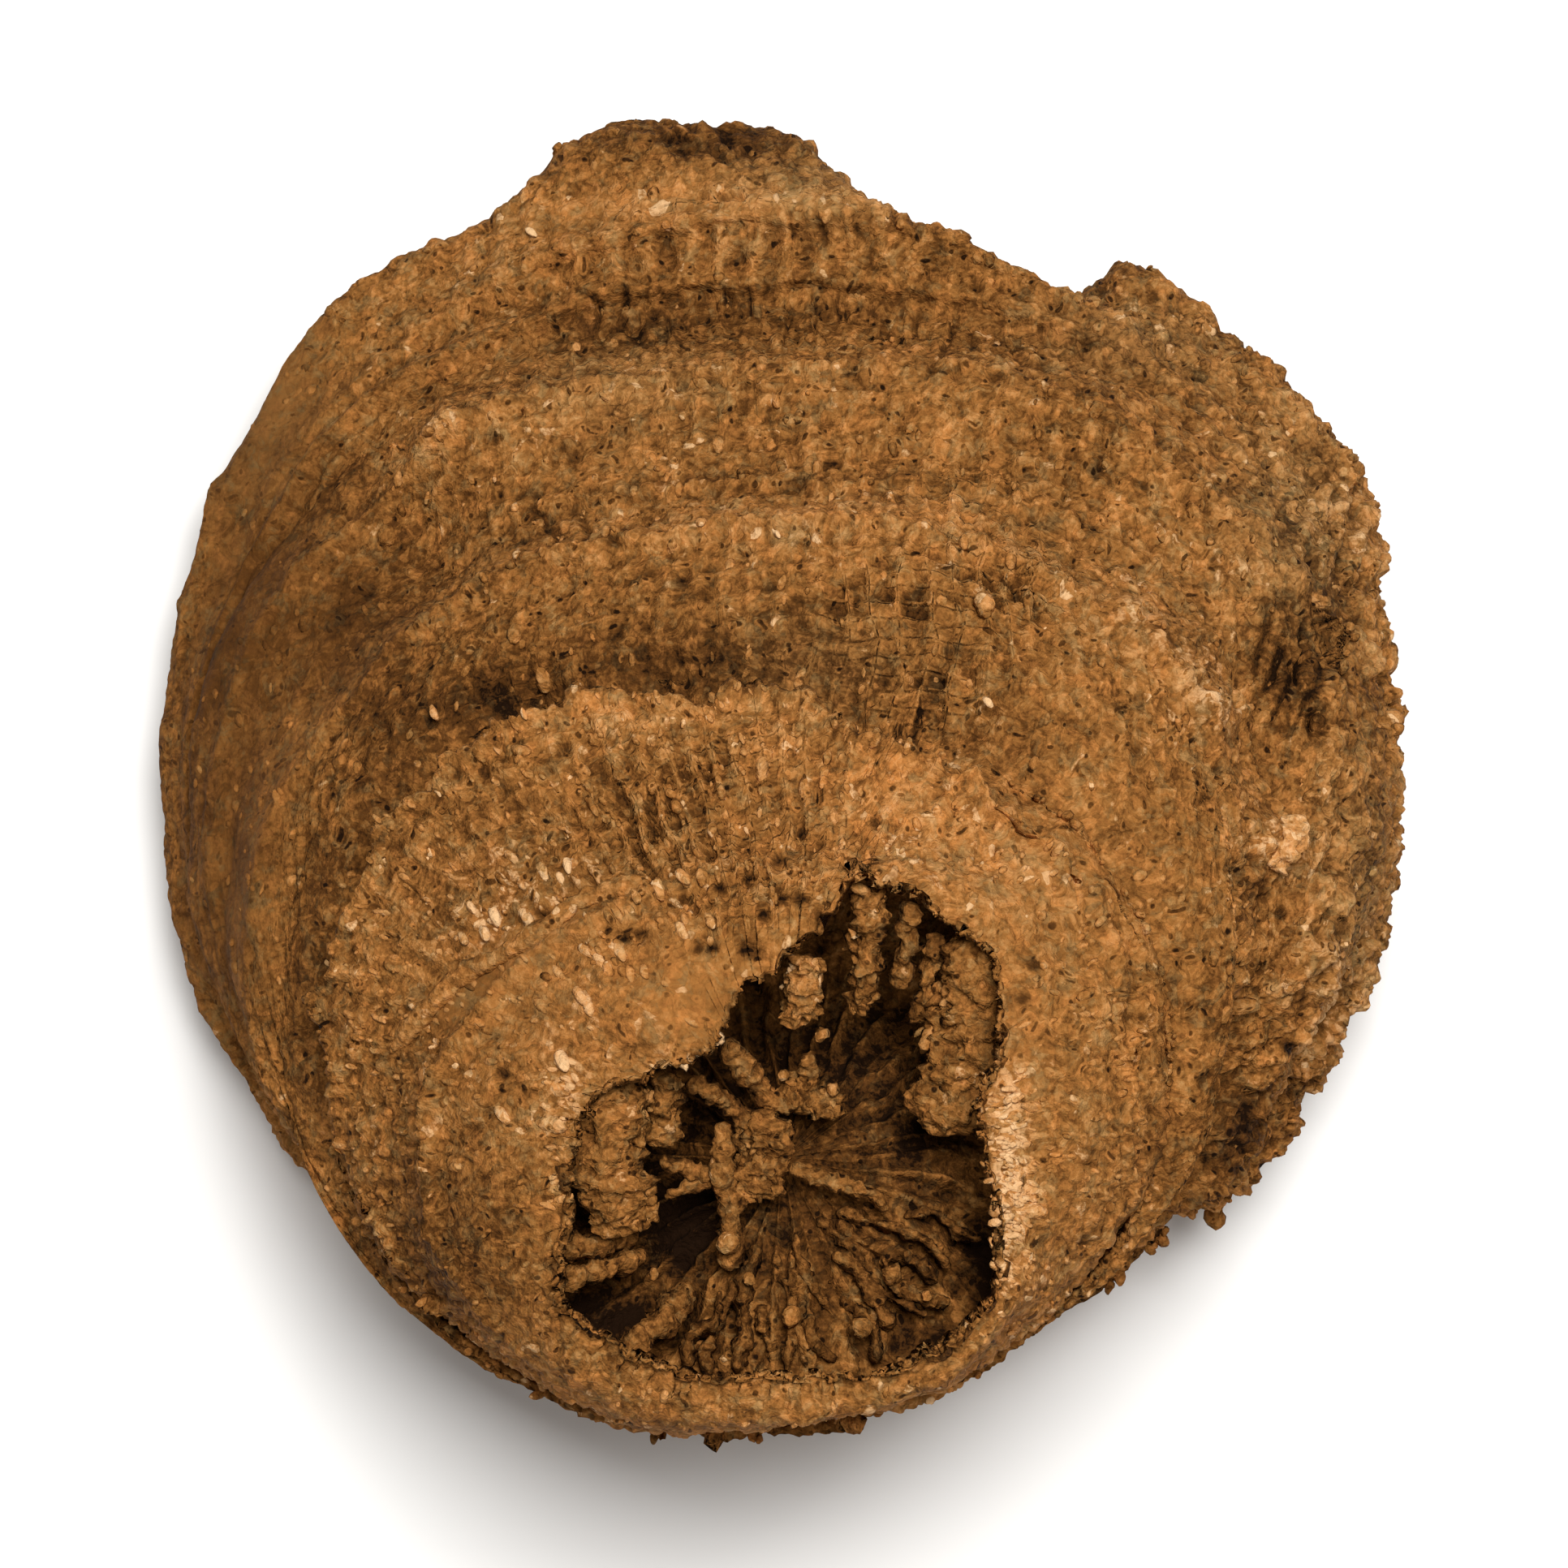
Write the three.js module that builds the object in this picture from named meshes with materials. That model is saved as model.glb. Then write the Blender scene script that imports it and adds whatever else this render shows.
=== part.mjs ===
// Horn coral fossil: a squat, leaning solitary coral, standing on its wide calice end.
// The narrow tip has broken away, so the top is a ragged hollow with the septa showing in it.
// It grew as one piece, so it is one solid: a lathe whose every ring of points is moved onto
// the coral's own growth ring, then roughened with ribs, grain and lumps.
// Millimetres, +Z up, -Y is the side that the tip leans over.

import * as THREE from 'three';
import { mergeVertices } from 'three/addons/utils/BufferGeometryUtils.js';

const TURN = Math.PI * 2;

// Driving dimensions.
const COLUMNS = 120; // points round each ring
const RIB_COUNT = 60; // septal ribs round the wall
const RIB_HEIGHT = 0.16;
const GRAIN_HEIGHT = 0.34; // knobbly crust
const COARSE_GRAINS = 30; // round a turn
const COARSE_GRAINS_PER_ROW = 0.7;
const FINE_GRAINS = 60;
const FINE_GRAINS_PER_ROW = 1.3;
const FINE_GRAIN_START = 50; // so that the fine grain doesn't repeat the coarse one
const FINE_GRAIN_SHARE = 0.7; // of the coarse grain's height
const FLOOR_SEPTA = 24; // septa radiating over the floor of the hollow
const FLOOR_SEPTUM_HEIGHT = 0.55;
const CALICE_SEPTA = 40; // septa radiating under the base
const CALICE_SEPTUM_HEIGHT = 0.3;
const WALL_AT_EDGE = 0.9; // thickness of the broken edge
const WELD_DISTANCE = 1e-4; // points nearer than this are one
const SCATTER = [127.1, 311.7, 43758.5453]; // mixes a pair of numbers without a pattern
const STONE_COLOUR = 0x94653a;
const STONE_ROUGHNESS = 0.92;

// A growth ring is a closed curve round its own centre, which lies on the plane x = 0.
// Its reach and height are given at evenly spaced bearings, counter-clockwise from +X:
// E, NE, N, NW, W, SW, S, SE, or in 24 steps where the outline needs them.

// Underside, from the middle of the calice out to the rim that the coral stands on.
const UNDERSIDE = [
  { centre: 1.5, reach: [0], height: [2.3], rows: 1 },
  { centre: 1.5, reach: [3.2], height: [2.5], rows: 1 },
  { centre: 1.5, reach: [5.2], height: [3.3], rows: 1, septa: 0.5 },
  { centre: 1.5, reach: [11, 11, 10.4, 11, 11.2, 11, 10.8, 11], height: [3.4], rows: 1, septa: 1 },
  { centre: 1.5, reach: [16.2, 15.6, 15, 16, 16.4, 16.4, 16.2, 16], height: [1.9], rows: 1, septa: 0.8 },
  { centre: 1.5, reach: [18.6, 17.8, 16.4, 18.4, 18.8, 18.8, 18.6, 18.4], height: [0], rows: 1 },
  { centre: 1.5, reach: [21.8, 20.8, 18.8, 21.6, 22, 22, 21.8, 21.6], height: [0], rows: 1 },
];

// Outer wall, from the foot up over each growth cup to the broken edge of the tip.
const OUTER_WALL = [
  {
    name: 'foot of the last cup', centre: 2, rows: 1, ribs: 0.8, grain: 0.8,
    reach: [23.4, 22.8, 20.8, 24.2, 24.2, 23.6, 22.8, 22.8],
    height: [3.2, 3, 2.6, 2.4, 2.2, 2.4, 2.6, 3],
  },
  {
    name: 'flared edge of the last cup', centre: 2.2, rows: 3, ribs: 1, grain: 1.2,
    reach: [24.4, 24.5, 25.3, 24.2, 20.4, 20.9, 24.4, 26.2, 24.5, 25.6, 25.3, 25.1,
      24.9, 25.3, 25.5, 25.3, 24.2, 23.8, 23.4, 23.0, 22.6, 24.8, 25.0, 25.2],
    height: [9, 8.5, 7.5, 6.5, 5.5, 6, 6.5, 8],
  },
  {
    name: 'far crest', centre: 0, rows: 1, ribs: 0.8, grain: 1,
    reach: [23.4, 22.2, 22.8, 23.8, 24.2, 22.8, 23.0, 22.0],
    height: [14.5, 13, 12.2, 8.8, 7.6, 8.4, 9, 10.5],
  },
  {
    name: 'slit furrow', centre: -1, rows: 2, ribs: 1.4, grain: 0.7,
    reach: [22.4, 21.6, 19.8, 22.2, 23.6, 22, 22.8, 21.6],
    height: [17.4, 14.9, 11.8, 10.8, 9, 10.4, 11, 13],
  },
  {
    name: 'fourth ridge', centre: -3, rows: 2, ribs: 0.8, grain: 1.2,
    reach: [20.8, 21.6, 19.2, 21.4, 22.8, 21.2, 21.2, 20.4],
    height: [19.4, 17.5, 15.7, 13.4, 11.4, 12.8, 13, 15.2],
  },
  {
    name: 'foot of the third cup', centre: -6.5, rows: 1, ribs: 1, grain: 0.7,
    reach: [17.8, 20.0, 17.9, 21.0, 21.6, 18.4, 18.0, 14.9],
    height: [19.9, 19.2, 17.8, 14.6, 13.6, 15.2, 15.5, 17.2],
  },
  {
    name: 'lip of the third cup', centre: -8, rows: 3, ribs: 0.8, grain: 1.3,
    reach: [17.0, 18.4, 17.4, 19.6, 20.6, 17.4, 16.6, 14.2],
    height: [22.8, 22.5, 20.5, 17.4, 15.8, 17.4, 17.5, 20],
  },
  {
    name: 'trench beyond the second lip', centre: -14.6, rows: 1, ribs: 0.6, grain: 0.6,
    reach: [14.6, 17.0, 18.4, 20.8, 17.6, 13.1, 10.6, 11.3],
    height: [25.6, 26.0, 22.4, 19.2, 18.2, 18.8, 19.4, 21.8],
  },
  {
    name: 'furrow under the second lip', centre: -14.6, rows: 1, ribs: 0.4, grain: 0.4,
    reach: [13.9, 15.6, 15.8, 18.8, 17.0, 12.8, 10.5, 11.1],
    height: [26.1, 27.0, 22.8, 20.2, 19.4, 20.0, 20.2, 22.6],
  },
  {
    name: 'jagged second lip', centre: -14.6, rows: 3, ribs: 1, grain: 1.2,
    reach: [13.5, 15.2, 16.3, 19.4, 16.9, 12.8, 10.6, 11.1],
    height: [26.6, 27.4, 26.4, 24.0, 20.6, 21, 21, 23.4],
  },
  {
    name: 'foot of the first ledge', centre: -14.6, rows: 1, ribs: 0.8, grain: 0.5,
    reach: [12.3, 13.2, 10.8, 11.4, 14.3, 12.8, 10.7, 11.0],
    height: [27.7, 28.6, 29.0, 28.0, 25.2, 24.4, 24, 25.8],
  },
  {
    name: 'first ledge', centre: -14.6, rows: 2, ribs: 0.5, grain: 0.4,
    reach: [11.8, 12.8, 10.3, 11.0, 14.0, 12.7, 10.6, 10.9],
    height: [28.1, 28.9, 29.6, 28.9, 26.2, 25.2, 25, 26.4],
  },
  {
    name: 'shoulder of the tip', centre: -14.6, rows: 2, ribs: 0.4, grain: 0.5,
    reach: [9.4, 11.0, 9.4, 7.4, 9.6, 11.4, 10.3, 10.7],
    height: [29.6, 30.2, 31.0, 31.2, 29.6, 28.2, 27.9, 29],
  },
];

// Height of the broken edge, bearing by bearing.
const EDGE_HEIGHT = [30.3, 30.4, 31.0, 31.3, 30.3, 29.2, 28.8, 29.6];

// Broken edge of the hollow tip, and the hollow below it down to the middle of its floor.
const HOLLOW = [
  {
    name: 'broken edge', centre: -14.6, rows: 1, grain: 0.5,
    reach: [7.4, 8.1, 8.9, 9.8, 9.6, 9.2, 6.3, 5.0, 4.4, 4.4, 5.1, 6.4,
      7.5, 7.9, 9.0, 9.8, 9.2, 8.8, 8.8, 8.9, 9.5, 9.8, 9.1, 7.8],
    height: EDGE_HEIGHT,
  },
  {
    name: 'inside of the broken edge', centre: -14.6, rows: 2, grain: 0.3,
    reach: [7.5, 8.1, 8.9, 9.8, 9.6, 9.2, 6.6, 5.4, 4.9, 4.9, 5.6, 6.8,
      7.7, 8.1, 9.1, 9.8, 9.2, 8.9, 8.9, 9.0, 9.5, 9.8, 9.1, 7.9],
    height: EDGE_HEIGHT.map((top) => top - WALL_AT_EDGE),
  },
  {
    name: 'foot of the hollow wall', centre: -14.8, rows: 1, grain: 0.6,
    reach: [9.4, 10.4, 8.6, 8.2, 9.0, 9.9, 9.3, 9.6],
    height: [22.6, 21.0, 20.2, 20.6, 21.6, 21.8, 22.4, 22.2],
  },
  {
    name: 'moat along the wall', centre: -14.8, rows: 2, grain: 0.4, floor: 0.6,
    reach: [7.8, 8.4, 7.0, 6.6, 7.0, 8.0, 7.6, 7.8],
    height: [21.4, 19.8, 19.2, 19.4, 20.4, 21.0, 22.4, 21.6],
  },
  {
    name: 'septa on the floor', centre: -14.9, rows: 2, grain: 0.3, floor: 1,
    reach: [4.6, 4.4, 3.4, 3.2, 3.6, 4.4, 4.8, 4.8],
    height: [22.6, 21.6, 20.8, 21.2, 22.2, 22.8, 23.2, 23.0],
  },
  { name: 'middle of the floor', centre: -15, rows: 1, reach: [1.4], height: [23.2], floor: 0.4 },
  { name: 'middle of the floor', centre: -15, rows: 0, reach: [0], height: [23.4] },
];

// Lumps and hollows of the crust: where, how wide, and how far they stand out (or sink in).
const LUMPS = [
  { name: 'pale knob on the third lip', at: [14.9, 4.6, 21.5], size: 1.7, rise: 1.1 },
  { name: 'pale knob on the third lip', at: [16.6, 2.4, 21.6], size: 1.5, rise: 1.0 },
  { name: 'hanging nodule', at: [18.6, -2.6, 20.8], size: 1.7, rise: 1.7 },
  { name: 'north-east horn of the rim', at: [13.6, 20.9, 8.5], size: 2.2, rise: 2.6 },
  { name: 'notch of the rim', at: [10.0, 20.6, 9.5], size: 2.0, rise: -1.6 },
  { name: 'east lobe', at: [19.6, -7.4, 18.8], size: 2.6, rise: 1.1 },
  { name: 'south-east lobe', at: [17.4, -14.6, 14.6], size: 2.4, rise: 1.2 },
  { name: 'gap beside the tip', at: [13.2, -18.6, 12.0], size: 3.4, rise: -1.6 },
  { name: 'pit behind the east lip', at: [19.6, 4.6, 16.8], size: 1.9, rise: -2.4 },
  { name: 'pit under the second lip', at: [-10.8, 2.8, 21.2], size: 1.8, rise: -1.5 },
  { name: 'hollow of the left flank', at: [-14.8, 9.8, 14.6], size: 2.8, rise: -1.3 },
  { name: 'nodular shoulder', at: [-12.8, 13.6, 13.6], size: 2.4, rise: 0.9 },
  { name: 'north crest knob', at: [-7.2, 26.4, 7.4], size: 1.8, rise: 0.5 },
  { name: 'north crest knob', at: [-3.2, 26.8, 7.8], size: 1.8, rise: 0.3 },
  { name: 'plate hanging in the hollow', at: [7.2, -10.4, 27.0], size: 2.3, rise: 1.9 },
  { name: 'plate hanging in the hollow', at: [-7.2, -15.6, 26.6], size: 2.0, rise: 1.7 },
  { name: 'column in the hollow', at: [-1.6, -16.6, 22.8], size: 1.3, rise: 1.0 },
];

/** Value at an angle on a smooth closed curve through evenly spaced values. */
function around(values, angle) {
  const count = values.length;
  const place = THREE.MathUtils.euclideanModulo(angle / TURN, 1) * count;
  const index = Math.floor(place);
  const value = (step) => values[(index + step + count) % count];
  const t = place - index;
  const slopeIn = (value(1) - value(-1)) / 2;
  const slopeOut = (value(2) - value(0)) / 2;
  const cubic = 2 * value(0) - 2 * value(1) + slopeIn + slopeOut;
  const square = 3 * value(1) - 3 * value(0) - 2 * slopeIn - slopeOut;
  return ((cubic * t + square) * t + slopeIn) * t + value(0);
}

/** Repeatable random number from 0 to 1 for a pair of whole numbers. */
function scatter(i, j) {
  const [first, second, spread] = SCATTER;
  const mixed = Math.sin(i * first + j * second) * spread;
  return mixed - Math.floor(mixed);
}

/** Smooth grain from -1 to 1, which joins up after a full turn of `cells` cells. */
function grain(turns, row, cells) {
  const across = turns * cells;
  const i = Math.floor(across);
  const j = Math.floor(row);
  const u = THREE.MathUtils.smoothstep(across - i, 0, 1);
  const v = THREE.MathUtils.smoothstep(row - j, 0, 1);
  const corner = (di, dj) => scatter((i + di) % cells, j + dj);
  const low = THREE.MathUtils.lerp(corner(0, 0), corner(1, 0), u);
  const high = THREE.MathUtils.lerp(corner(0, 1), corner(1, 1), u);
  return THREE.MathUtils.lerp(low, high, v) * 2 - 1;
}

/** Point of a growth ring at an angle. */
function ringPoint(ring, angle) {
  const reach = around(ring.reach, angle);
  const x = reach * Math.cos(angle);
  const y = ring.centre + reach * Math.sin(angle);
  return new THREE.Vector3(x, y, around(ring.height, angle));
}

/** How far the crust stands out at a place between two rings, before the lumps. */
function relief(near, far, mix, row, turns) {
  const blend = (key) => THREE.MathUtils.lerp(near[key] ?? 0, far[key] ?? 0, mix);
  const wave = (count) => Math.cos(turns * TURN * count);
  const ribs = RIB_HEIGHT * wave(RIB_COUNT) * blend('ribs');
  const floor = FLOOR_SEPTUM_HEIGHT * wave(FLOOR_SEPTA) * blend('floor');
  const calice = CALICE_SEPTUM_HEIGHT * wave(CALICE_SEPTA) * blend('septa');
  const coarse = grain(turns, row * COARSE_GRAINS_PER_ROW, COARSE_GRAINS);
  const fine = grain(turns, row * FINE_GRAINS_PER_ROW + FINE_GRAIN_START, FINE_GRAINS);
  const crust = GRAIN_HEIGHT * blend('grain') * (coarse + FINE_GRAIN_SHARE * fine);
  return ribs + floor + calice + crust;
}

/** Rows of the lathe: each lies between two growth rings and has a relief of its own. */
function layRows(rings) {
  const rows = [];
  rings.slice(0, -1).forEach((near, index) => {
    const far = rings[index + 1];
    for (let step = 0; step < near.rows; step += 1) {
      rows.push({ near, far, mix: step / near.rows });
    }
  });
  const last = rings[rings.length - 1];
  rows.push({ near: last, far: last, mix: 0 });
  return rows;
}

/** Points of one row, all the way round, on the smooth growth surface. */
function smoothRow(row) {
  const points = [];
  for (let column = 0; column < COLUMNS; column += 1) {
    const angle = (column / COLUMNS) * TURN;
    points.push(ringPoint(row.near, angle).lerp(ringPoint(row.far, angle), row.mix));
  }
  return points;
}

/** Outward direction of the surface at one point of the grid. */
function outward(grid, j, i) {
  const row = grid[j];
  const along = row[(i + 1) % COLUMNS].clone().sub(row[(i + COLUMNS - 1) % COLUMNS]);
  const above = grid[Math.min(j + 1, grid.length - 1)][i];
  const below = grid[Math.max(j - 1, 0)][i];
  return along.cross(above.clone().sub(below)).normalize();
}

/** How far the lumps near a point push it out. */
function lumpRise(point) {
  return LUMPS.reduce((sum, lump) => {
    const away = point.distanceTo(new THREE.Vector3(...lump.at)) / lump.size;
    return sum + lump.rise * Math.exp(-away * away);
  }, 0);
}

/** The coral's surface as rows of points, roughened along its own outward direction. */
function coralGrid() {
  const rows = layRows([...UNDERSIDE, ...OUTER_WALL, ...HOLLOW]);
  const smooth = rows.map(smoothRow);
  return smooth.map((points, j) => points.map((point, i) => {
    const { near, far, mix } = rows[j];
    const bare = near.height[0] === 0 || around(near.reach, 0) === 0;
    if (bare) {
      return point; // the standing rim and the two poles stay true
    }
    const rise = relief(near, far, mix, j, i / COLUMNS) + lumpRise(point);
    return point.clone().addScaledVector(outward(smooth, j, i), rise);
  }));
}

/** One closed solid: a lathe with a row for each row of the grid, moved onto the grid. */
function coralGeometry() {
  const grid = coralGrid();
  const profile = grid.map((row, j) => new THREE.Vector2(1, j));
  const geometry = new THREE.LatheGeometry(profile, COLUMNS);
  const position = geometry.attributes.position;
  for (let i = 0; i <= COLUMNS; i += 1) {
    grid.forEach((row, j) => {
      const point = row[i % COLUMNS];
      position.setXYZ(i * grid.length + j, point.x, point.y, point.z);
    });
  }
  geometry.deleteAttribute('normal');
  geometry.deleteAttribute('uv');
  const solid = mergeVertices(geometry, WELD_DISTANCE);
  solid.computeBoundingBox();
  const middle = solid.boundingBox.getCenter(new THREE.Vector3());
  solid.translate(-middle.x, -middle.y, 0);
  return solid;
}

const fossilLimestone = new THREE.MeshStandardMaterial({
  name: 'fossil_limestone',
  color: STONE_COLOUR,
  roughness: STONE_ROUGHNESS,
  metalness: 0,
});

const hornCoral = new THREE.Mesh(coralGeometry(), fossilLimestone);
hornCoral.name = 'horn_coral';

const fossil = new THREE.Group();
fossil.name = 'horn_coral_fossil';
fossil.add(hornCoral);

export default fossil;
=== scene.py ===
"""Looks of a horn coral fossil: a squat cone of stacked growth cups, broken open at its narrow end."""

import logging
import math
from dataclasses import dataclass, field, replace
from enum import Enum

import bmesh
import bpy
import numpy as np
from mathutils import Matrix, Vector


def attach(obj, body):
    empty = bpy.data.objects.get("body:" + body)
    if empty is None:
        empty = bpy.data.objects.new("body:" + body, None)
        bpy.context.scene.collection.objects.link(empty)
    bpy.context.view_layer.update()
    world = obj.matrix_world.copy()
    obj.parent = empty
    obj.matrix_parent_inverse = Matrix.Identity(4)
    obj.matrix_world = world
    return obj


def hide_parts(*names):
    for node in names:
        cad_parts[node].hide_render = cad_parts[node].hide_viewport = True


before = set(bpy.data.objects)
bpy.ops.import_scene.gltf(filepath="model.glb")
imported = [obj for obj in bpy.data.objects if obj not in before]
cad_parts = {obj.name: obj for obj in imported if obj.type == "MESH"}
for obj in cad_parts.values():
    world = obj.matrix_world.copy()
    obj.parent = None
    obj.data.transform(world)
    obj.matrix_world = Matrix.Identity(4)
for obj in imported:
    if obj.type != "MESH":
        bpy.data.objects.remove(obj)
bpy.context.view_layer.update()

LOG = logging.getLogger("horn_coral")

Colour = tuple[float, float, float]
Stops = tuple[tuple[float, Colour], ...]
Point = tuple[float, float, float]
Path = tuple[Point, ...]
Socket = bpy.types.NodeSocket

MM = 0.001  # the sizes below are millimetres, the scene is in metres
TO_ROW = (0.2549, -1.2061, 0.0)  # from the coral's own axis to the middle of the row frame
SEPTA = 104  # radial walls of the skeleton, which show as ribs outside
SEPTUM_EDGE_HEIGHT = 0.08  # worn edges of the septa, which stand out as thin pale lines
SEPTUM_EDGE_WIDTH = 0.10
CHAMBER_DEPTH = 0.5  # open chambers between the septa
CHAMBER_WALL = 0.06  # wall between two chambers, to each side of its middle
CHAMBER_SLOPE = 0.16  # width over which a chamber falls to its depth
CRUMB_HEIGHT = 0.20  # packed crumbs of the crust
CRUMB_PITCH = 0.56
CRUMB_SEAM = 0.45  # how far from its seam a crumb reaches its full height, in crumbs
RIB_HEIGHT = 0.05  # low septal ribs where the wall is worn
RIB_HEIGHT_BARE = 0.2  # septal ribs where they stand bare
STEEP_STRETCH = 0.4  # share of a drop that counts for the crumbs' length, so that steep walls draw them out
BEND_REACH = 0.34  # how far the crystals' seams are bent, and over what length
BEND_PITCH = 0.53
SLIT_DEPTH = 0.9  # open slits between two septa
SLIT_WIDTH = 0.2
SLIT_LENGTH = 1.9
FLOOR_SEPTA = 34  # septa round the floor of the hollow
FLOOR_SEPTUM_HEIGHT = 0.55
FLOOR_SEPTUM_WIDTH = 0.2  # as a share of their spacing
FLOOR_CRUMB_HEIGHT = 0.45
FLOOR_CRUMB_PITCHES = (0.9, 0.42)
KNOB_HEIGHT = 0.5
KNOB_RADIUS = 0.72  # of a knob, as a share of the room that it has
PIT_DEPTH = 0.42
PIT_SIZE = 0.3
# painted shade in each pit
PIT_SHADE = -1.9
WAVE_HEIGHT = 0.32
STEP_HEIGHT = 0.22  # fine growth steps, one every so many mm
STEP_PITCH = 1.15
STEP_FRONT = 0.12  # share of a step on which it rises
LEDGE_RAGGED = 0.22  # how far a ledge's edge wanders
ROD_CRUMBS = ((0.8, 2.4), (0.36, 1.6), (0.2, 1.0))  # pitch in mm and weight of the crumbs on a rod
TOOTH_LENGTH = 0.8
TOOTH_REACH = 1.3  # how far back from a lip its teeth bend the wall
RELIEF_SHADE_DEPTH = 0.2  # height in mm at which the relief's painted highlight and shade reach full strength
GRAIN_MARGIN = 0.15  # least distance of a grain's middle from the edge of its cell, in cells
COLUMN_STEP = 7919  # keeps the cells of one column apart from the next one's
HASH_FIRST = np.uint32(374761393)  # large odd numbers that stir whole numbers into random ones
HASH_SECOND = np.uint32(668265263)
HASH_SEED = 2246822
HASH_STIRS = ((13, 1274126177), (15, 2246822519))  # shift and factor of each stir
HASH_TOP = 4294967295.0  # largest number that 32 bits hold


# -------- patterns


def scattered(i: np.ndarray, j: np.ndarray, seed: int) -> np.ndarray:
    """Repeatable random numbers for pairs of whole numbers.

    Args:
        i: First whole numbers.
        j: Second whole numbers, of the same shape.
        seed: Whole number that picks one of many such patterns.

    Returns:
        Numbers from 0 to 1.
    """
    with np.errstate(over="ignore"):
        mixed = np.asarray(i).astype(np.int64).astype(np.uint32) * HASH_FIRST
        mixed = mixed + np.asarray(j).astype(np.int64).astype(np.uint32) * HASH_SECOND
        mixed = mixed + np.uint32(seed * HASH_SEED + 97)
        for shift, factor in HASH_STIRS:
            mixed = (mixed ^ (mixed >> np.uint32(shift))) * np.uint32(factor)
    return (mixed ^ (mixed >> np.uint32(16))).astype(np.float64) / HASH_TOP


def eased(share: np.ndarray) -> np.ndarray:
    """Share from 0 to 1 with a gentle start and end."""
    share = np.clip(share, 0.0, 1.0)
    return share * share * (3.0 - 2.0 * share)


def curved(
    share: np.ndarray, start: np.ndarray, end: np.ndarray, leave: np.ndarray, arrive: np.ndarray,
) -> np.ndarray:
    """Smooth way from one value to the next.

    Args:
        share: Share of the way, from 0 to 1.
        start: Value at its start.
        end: Value at its end.
        leave: Slope at its start.
        arrive: Slope at its end.

    Returns:
        The values on the way.
    """
    cubic = 2 * start - 2 * end + leave + arrive
    square = 3 * end - 3 * start - 2 * leave - arrive
    return ((cubic * share + square) * share + leave) * share + start


def around(values: tuple[float, ...], turns: np.ndarray) -> np.ndarray:
    """Smooth closed curve through values that stand evenly round a turn.

    Args:
        values: Values, counter-clockwise from +X.
        turns: Places round the turn, from 0 to 1.

    Returns:
        The curve's value at each place.
    """
    known = np.asarray(values, float)
    place = np.mod(turns, 1.0) * len(known)
    index = np.floor(place).astype(int)
    before, start, end, after = (known[(index + step) % len(known)] for step in (-1, 0, 1, 2))
    return curved(place - index, start, end, (end - before) / 2, (after - start) / 2)


def soft_noise(turns: np.ndarray, along: np.ndarray, cells: int, pitch: float, seed: int) -> np.ndarray:
    """Smooth random field on the coral's wall, which joins up after a full turn.

    Args:
        turns: Places round the coral, from 0 to 1.
        along: Distances along the growth, in mm.
        cells: Cells round a full turn.
        pitch: Length of a cell along the growth, in mm.
        seed: Pattern to draw.

    Returns:
        Values from -1 to 1.
    """
    across = turns * cells
    rising = along / pitch
    i, j = np.floor(across), np.floor(rising)
    u, v = eased(across - i), eased(rising - j)
    corner = {
        (di, dj): scattered(np.mod(i + di, cells), j + dj, seed) for di in (0, 1) for dj in (0, 1)
    }
    low = corner[0, 0] * (1 - u) + corner[1, 0] * u
    high = corner[0, 1] * (1 - u) + corner[1, 1] * u
    return (low * (1 - v) + high * v) * 2 - 1


def cloud(points: np.ndarray, pitch: float, seed: int) -> np.ndarray:
    """Smooth random field in space.

    Args:
        points: Points, with x, y and z last.
        pitch: Size of a cell.
        seed: Pattern to draw.

    Returns:
        Values from -1 to 1.
    """
    cell = np.floor(points / pitch)
    u, v, w = (eased(points[..., axis] / pitch - cell[..., axis]) for axis in range(3))
    i, j, k = (cell[..., axis].astype(int) for axis in range(3))
    total = np.zeros(points.shape[:-1])
    for di, share_i in ((0, 1 - u), (1, u)):
        for dj, share_j in ((0, 1 - v), (1, v)):
            for dk, share_k in ((0, 1 - w), (1, w)):
                corner = scattered((i + di) * COLUMN_STEP + j + dj, k + dk, seed)
                total += share_i * share_j * share_k * corner
    return total * 2 - 1


def bent(points: np.ndarray) -> np.ndarray:
    """Points pushed about smoothly, so that what is packed on them has no straight seams."""
    pushes = [cloud(points, BEND_PITCH, 901 + axis) for axis in range(3)]
    return points + BEND_REACH * np.stack(pushes, axis=-1)


@dataclass(frozen=True)
class Grains:
    """Field of packed grains: how deep a place lies in its own grain, and which grain it is."""

    inside: np.ndarray  # 0 on the seam between two grains, growing towards the middle
    middle: np.ndarray  # distance to the grain's middle, in cells
    pick: np.ndarray  # random number of the grain, 0 to 1


def nearest_grain(place: np.ndarray, cells_round: int | None, seed: int) -> Grains:
    """Finds the grain that holds each place, one grain to a cell.

    Args:
        place: Places counted in cells, with one number for each direction last.
        cells_round: Cells after which the first direction joins up, or None in open space.
        seed: Pattern to draw.

    Returns:
        The field at each place.
    """
    cell = np.floor(place)
    ways = place.shape[-1]
    nearest = np.full(place.shape[:-1], 9.0)
    second = nearest.copy()
    pick = np.zeros(place.shape[:-1])
    for step in np.ndindex(*(3,) * ways):
        corner = [cell[..., axis] + step[axis] - 1 for axis in range(ways)]
        if cells_round:
            key = (np.mod(corner[0], cells_round), corner[1])
        else:
            key = (corner[0] * COLUMN_STEP + corner[1], corner[2])
        away = np.zeros(nearest.shape)
        for axis in range(ways):
            middle = corner[axis] + GRAIN_MARGIN + (1 - 2 * GRAIN_MARGIN) * scattered(*key, seed + axis)
            away += (place[..., axis] - middle) ** 2
        away = np.sqrt(away)
        closer = away < nearest
        second = np.where(closer, nearest, np.minimum(second, away))
        pick = np.where(closer, scattered(*key, seed + ways), pick)
        nearest = np.minimum(nearest, away)
    return Grains(second - nearest, nearest, pick)


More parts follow.
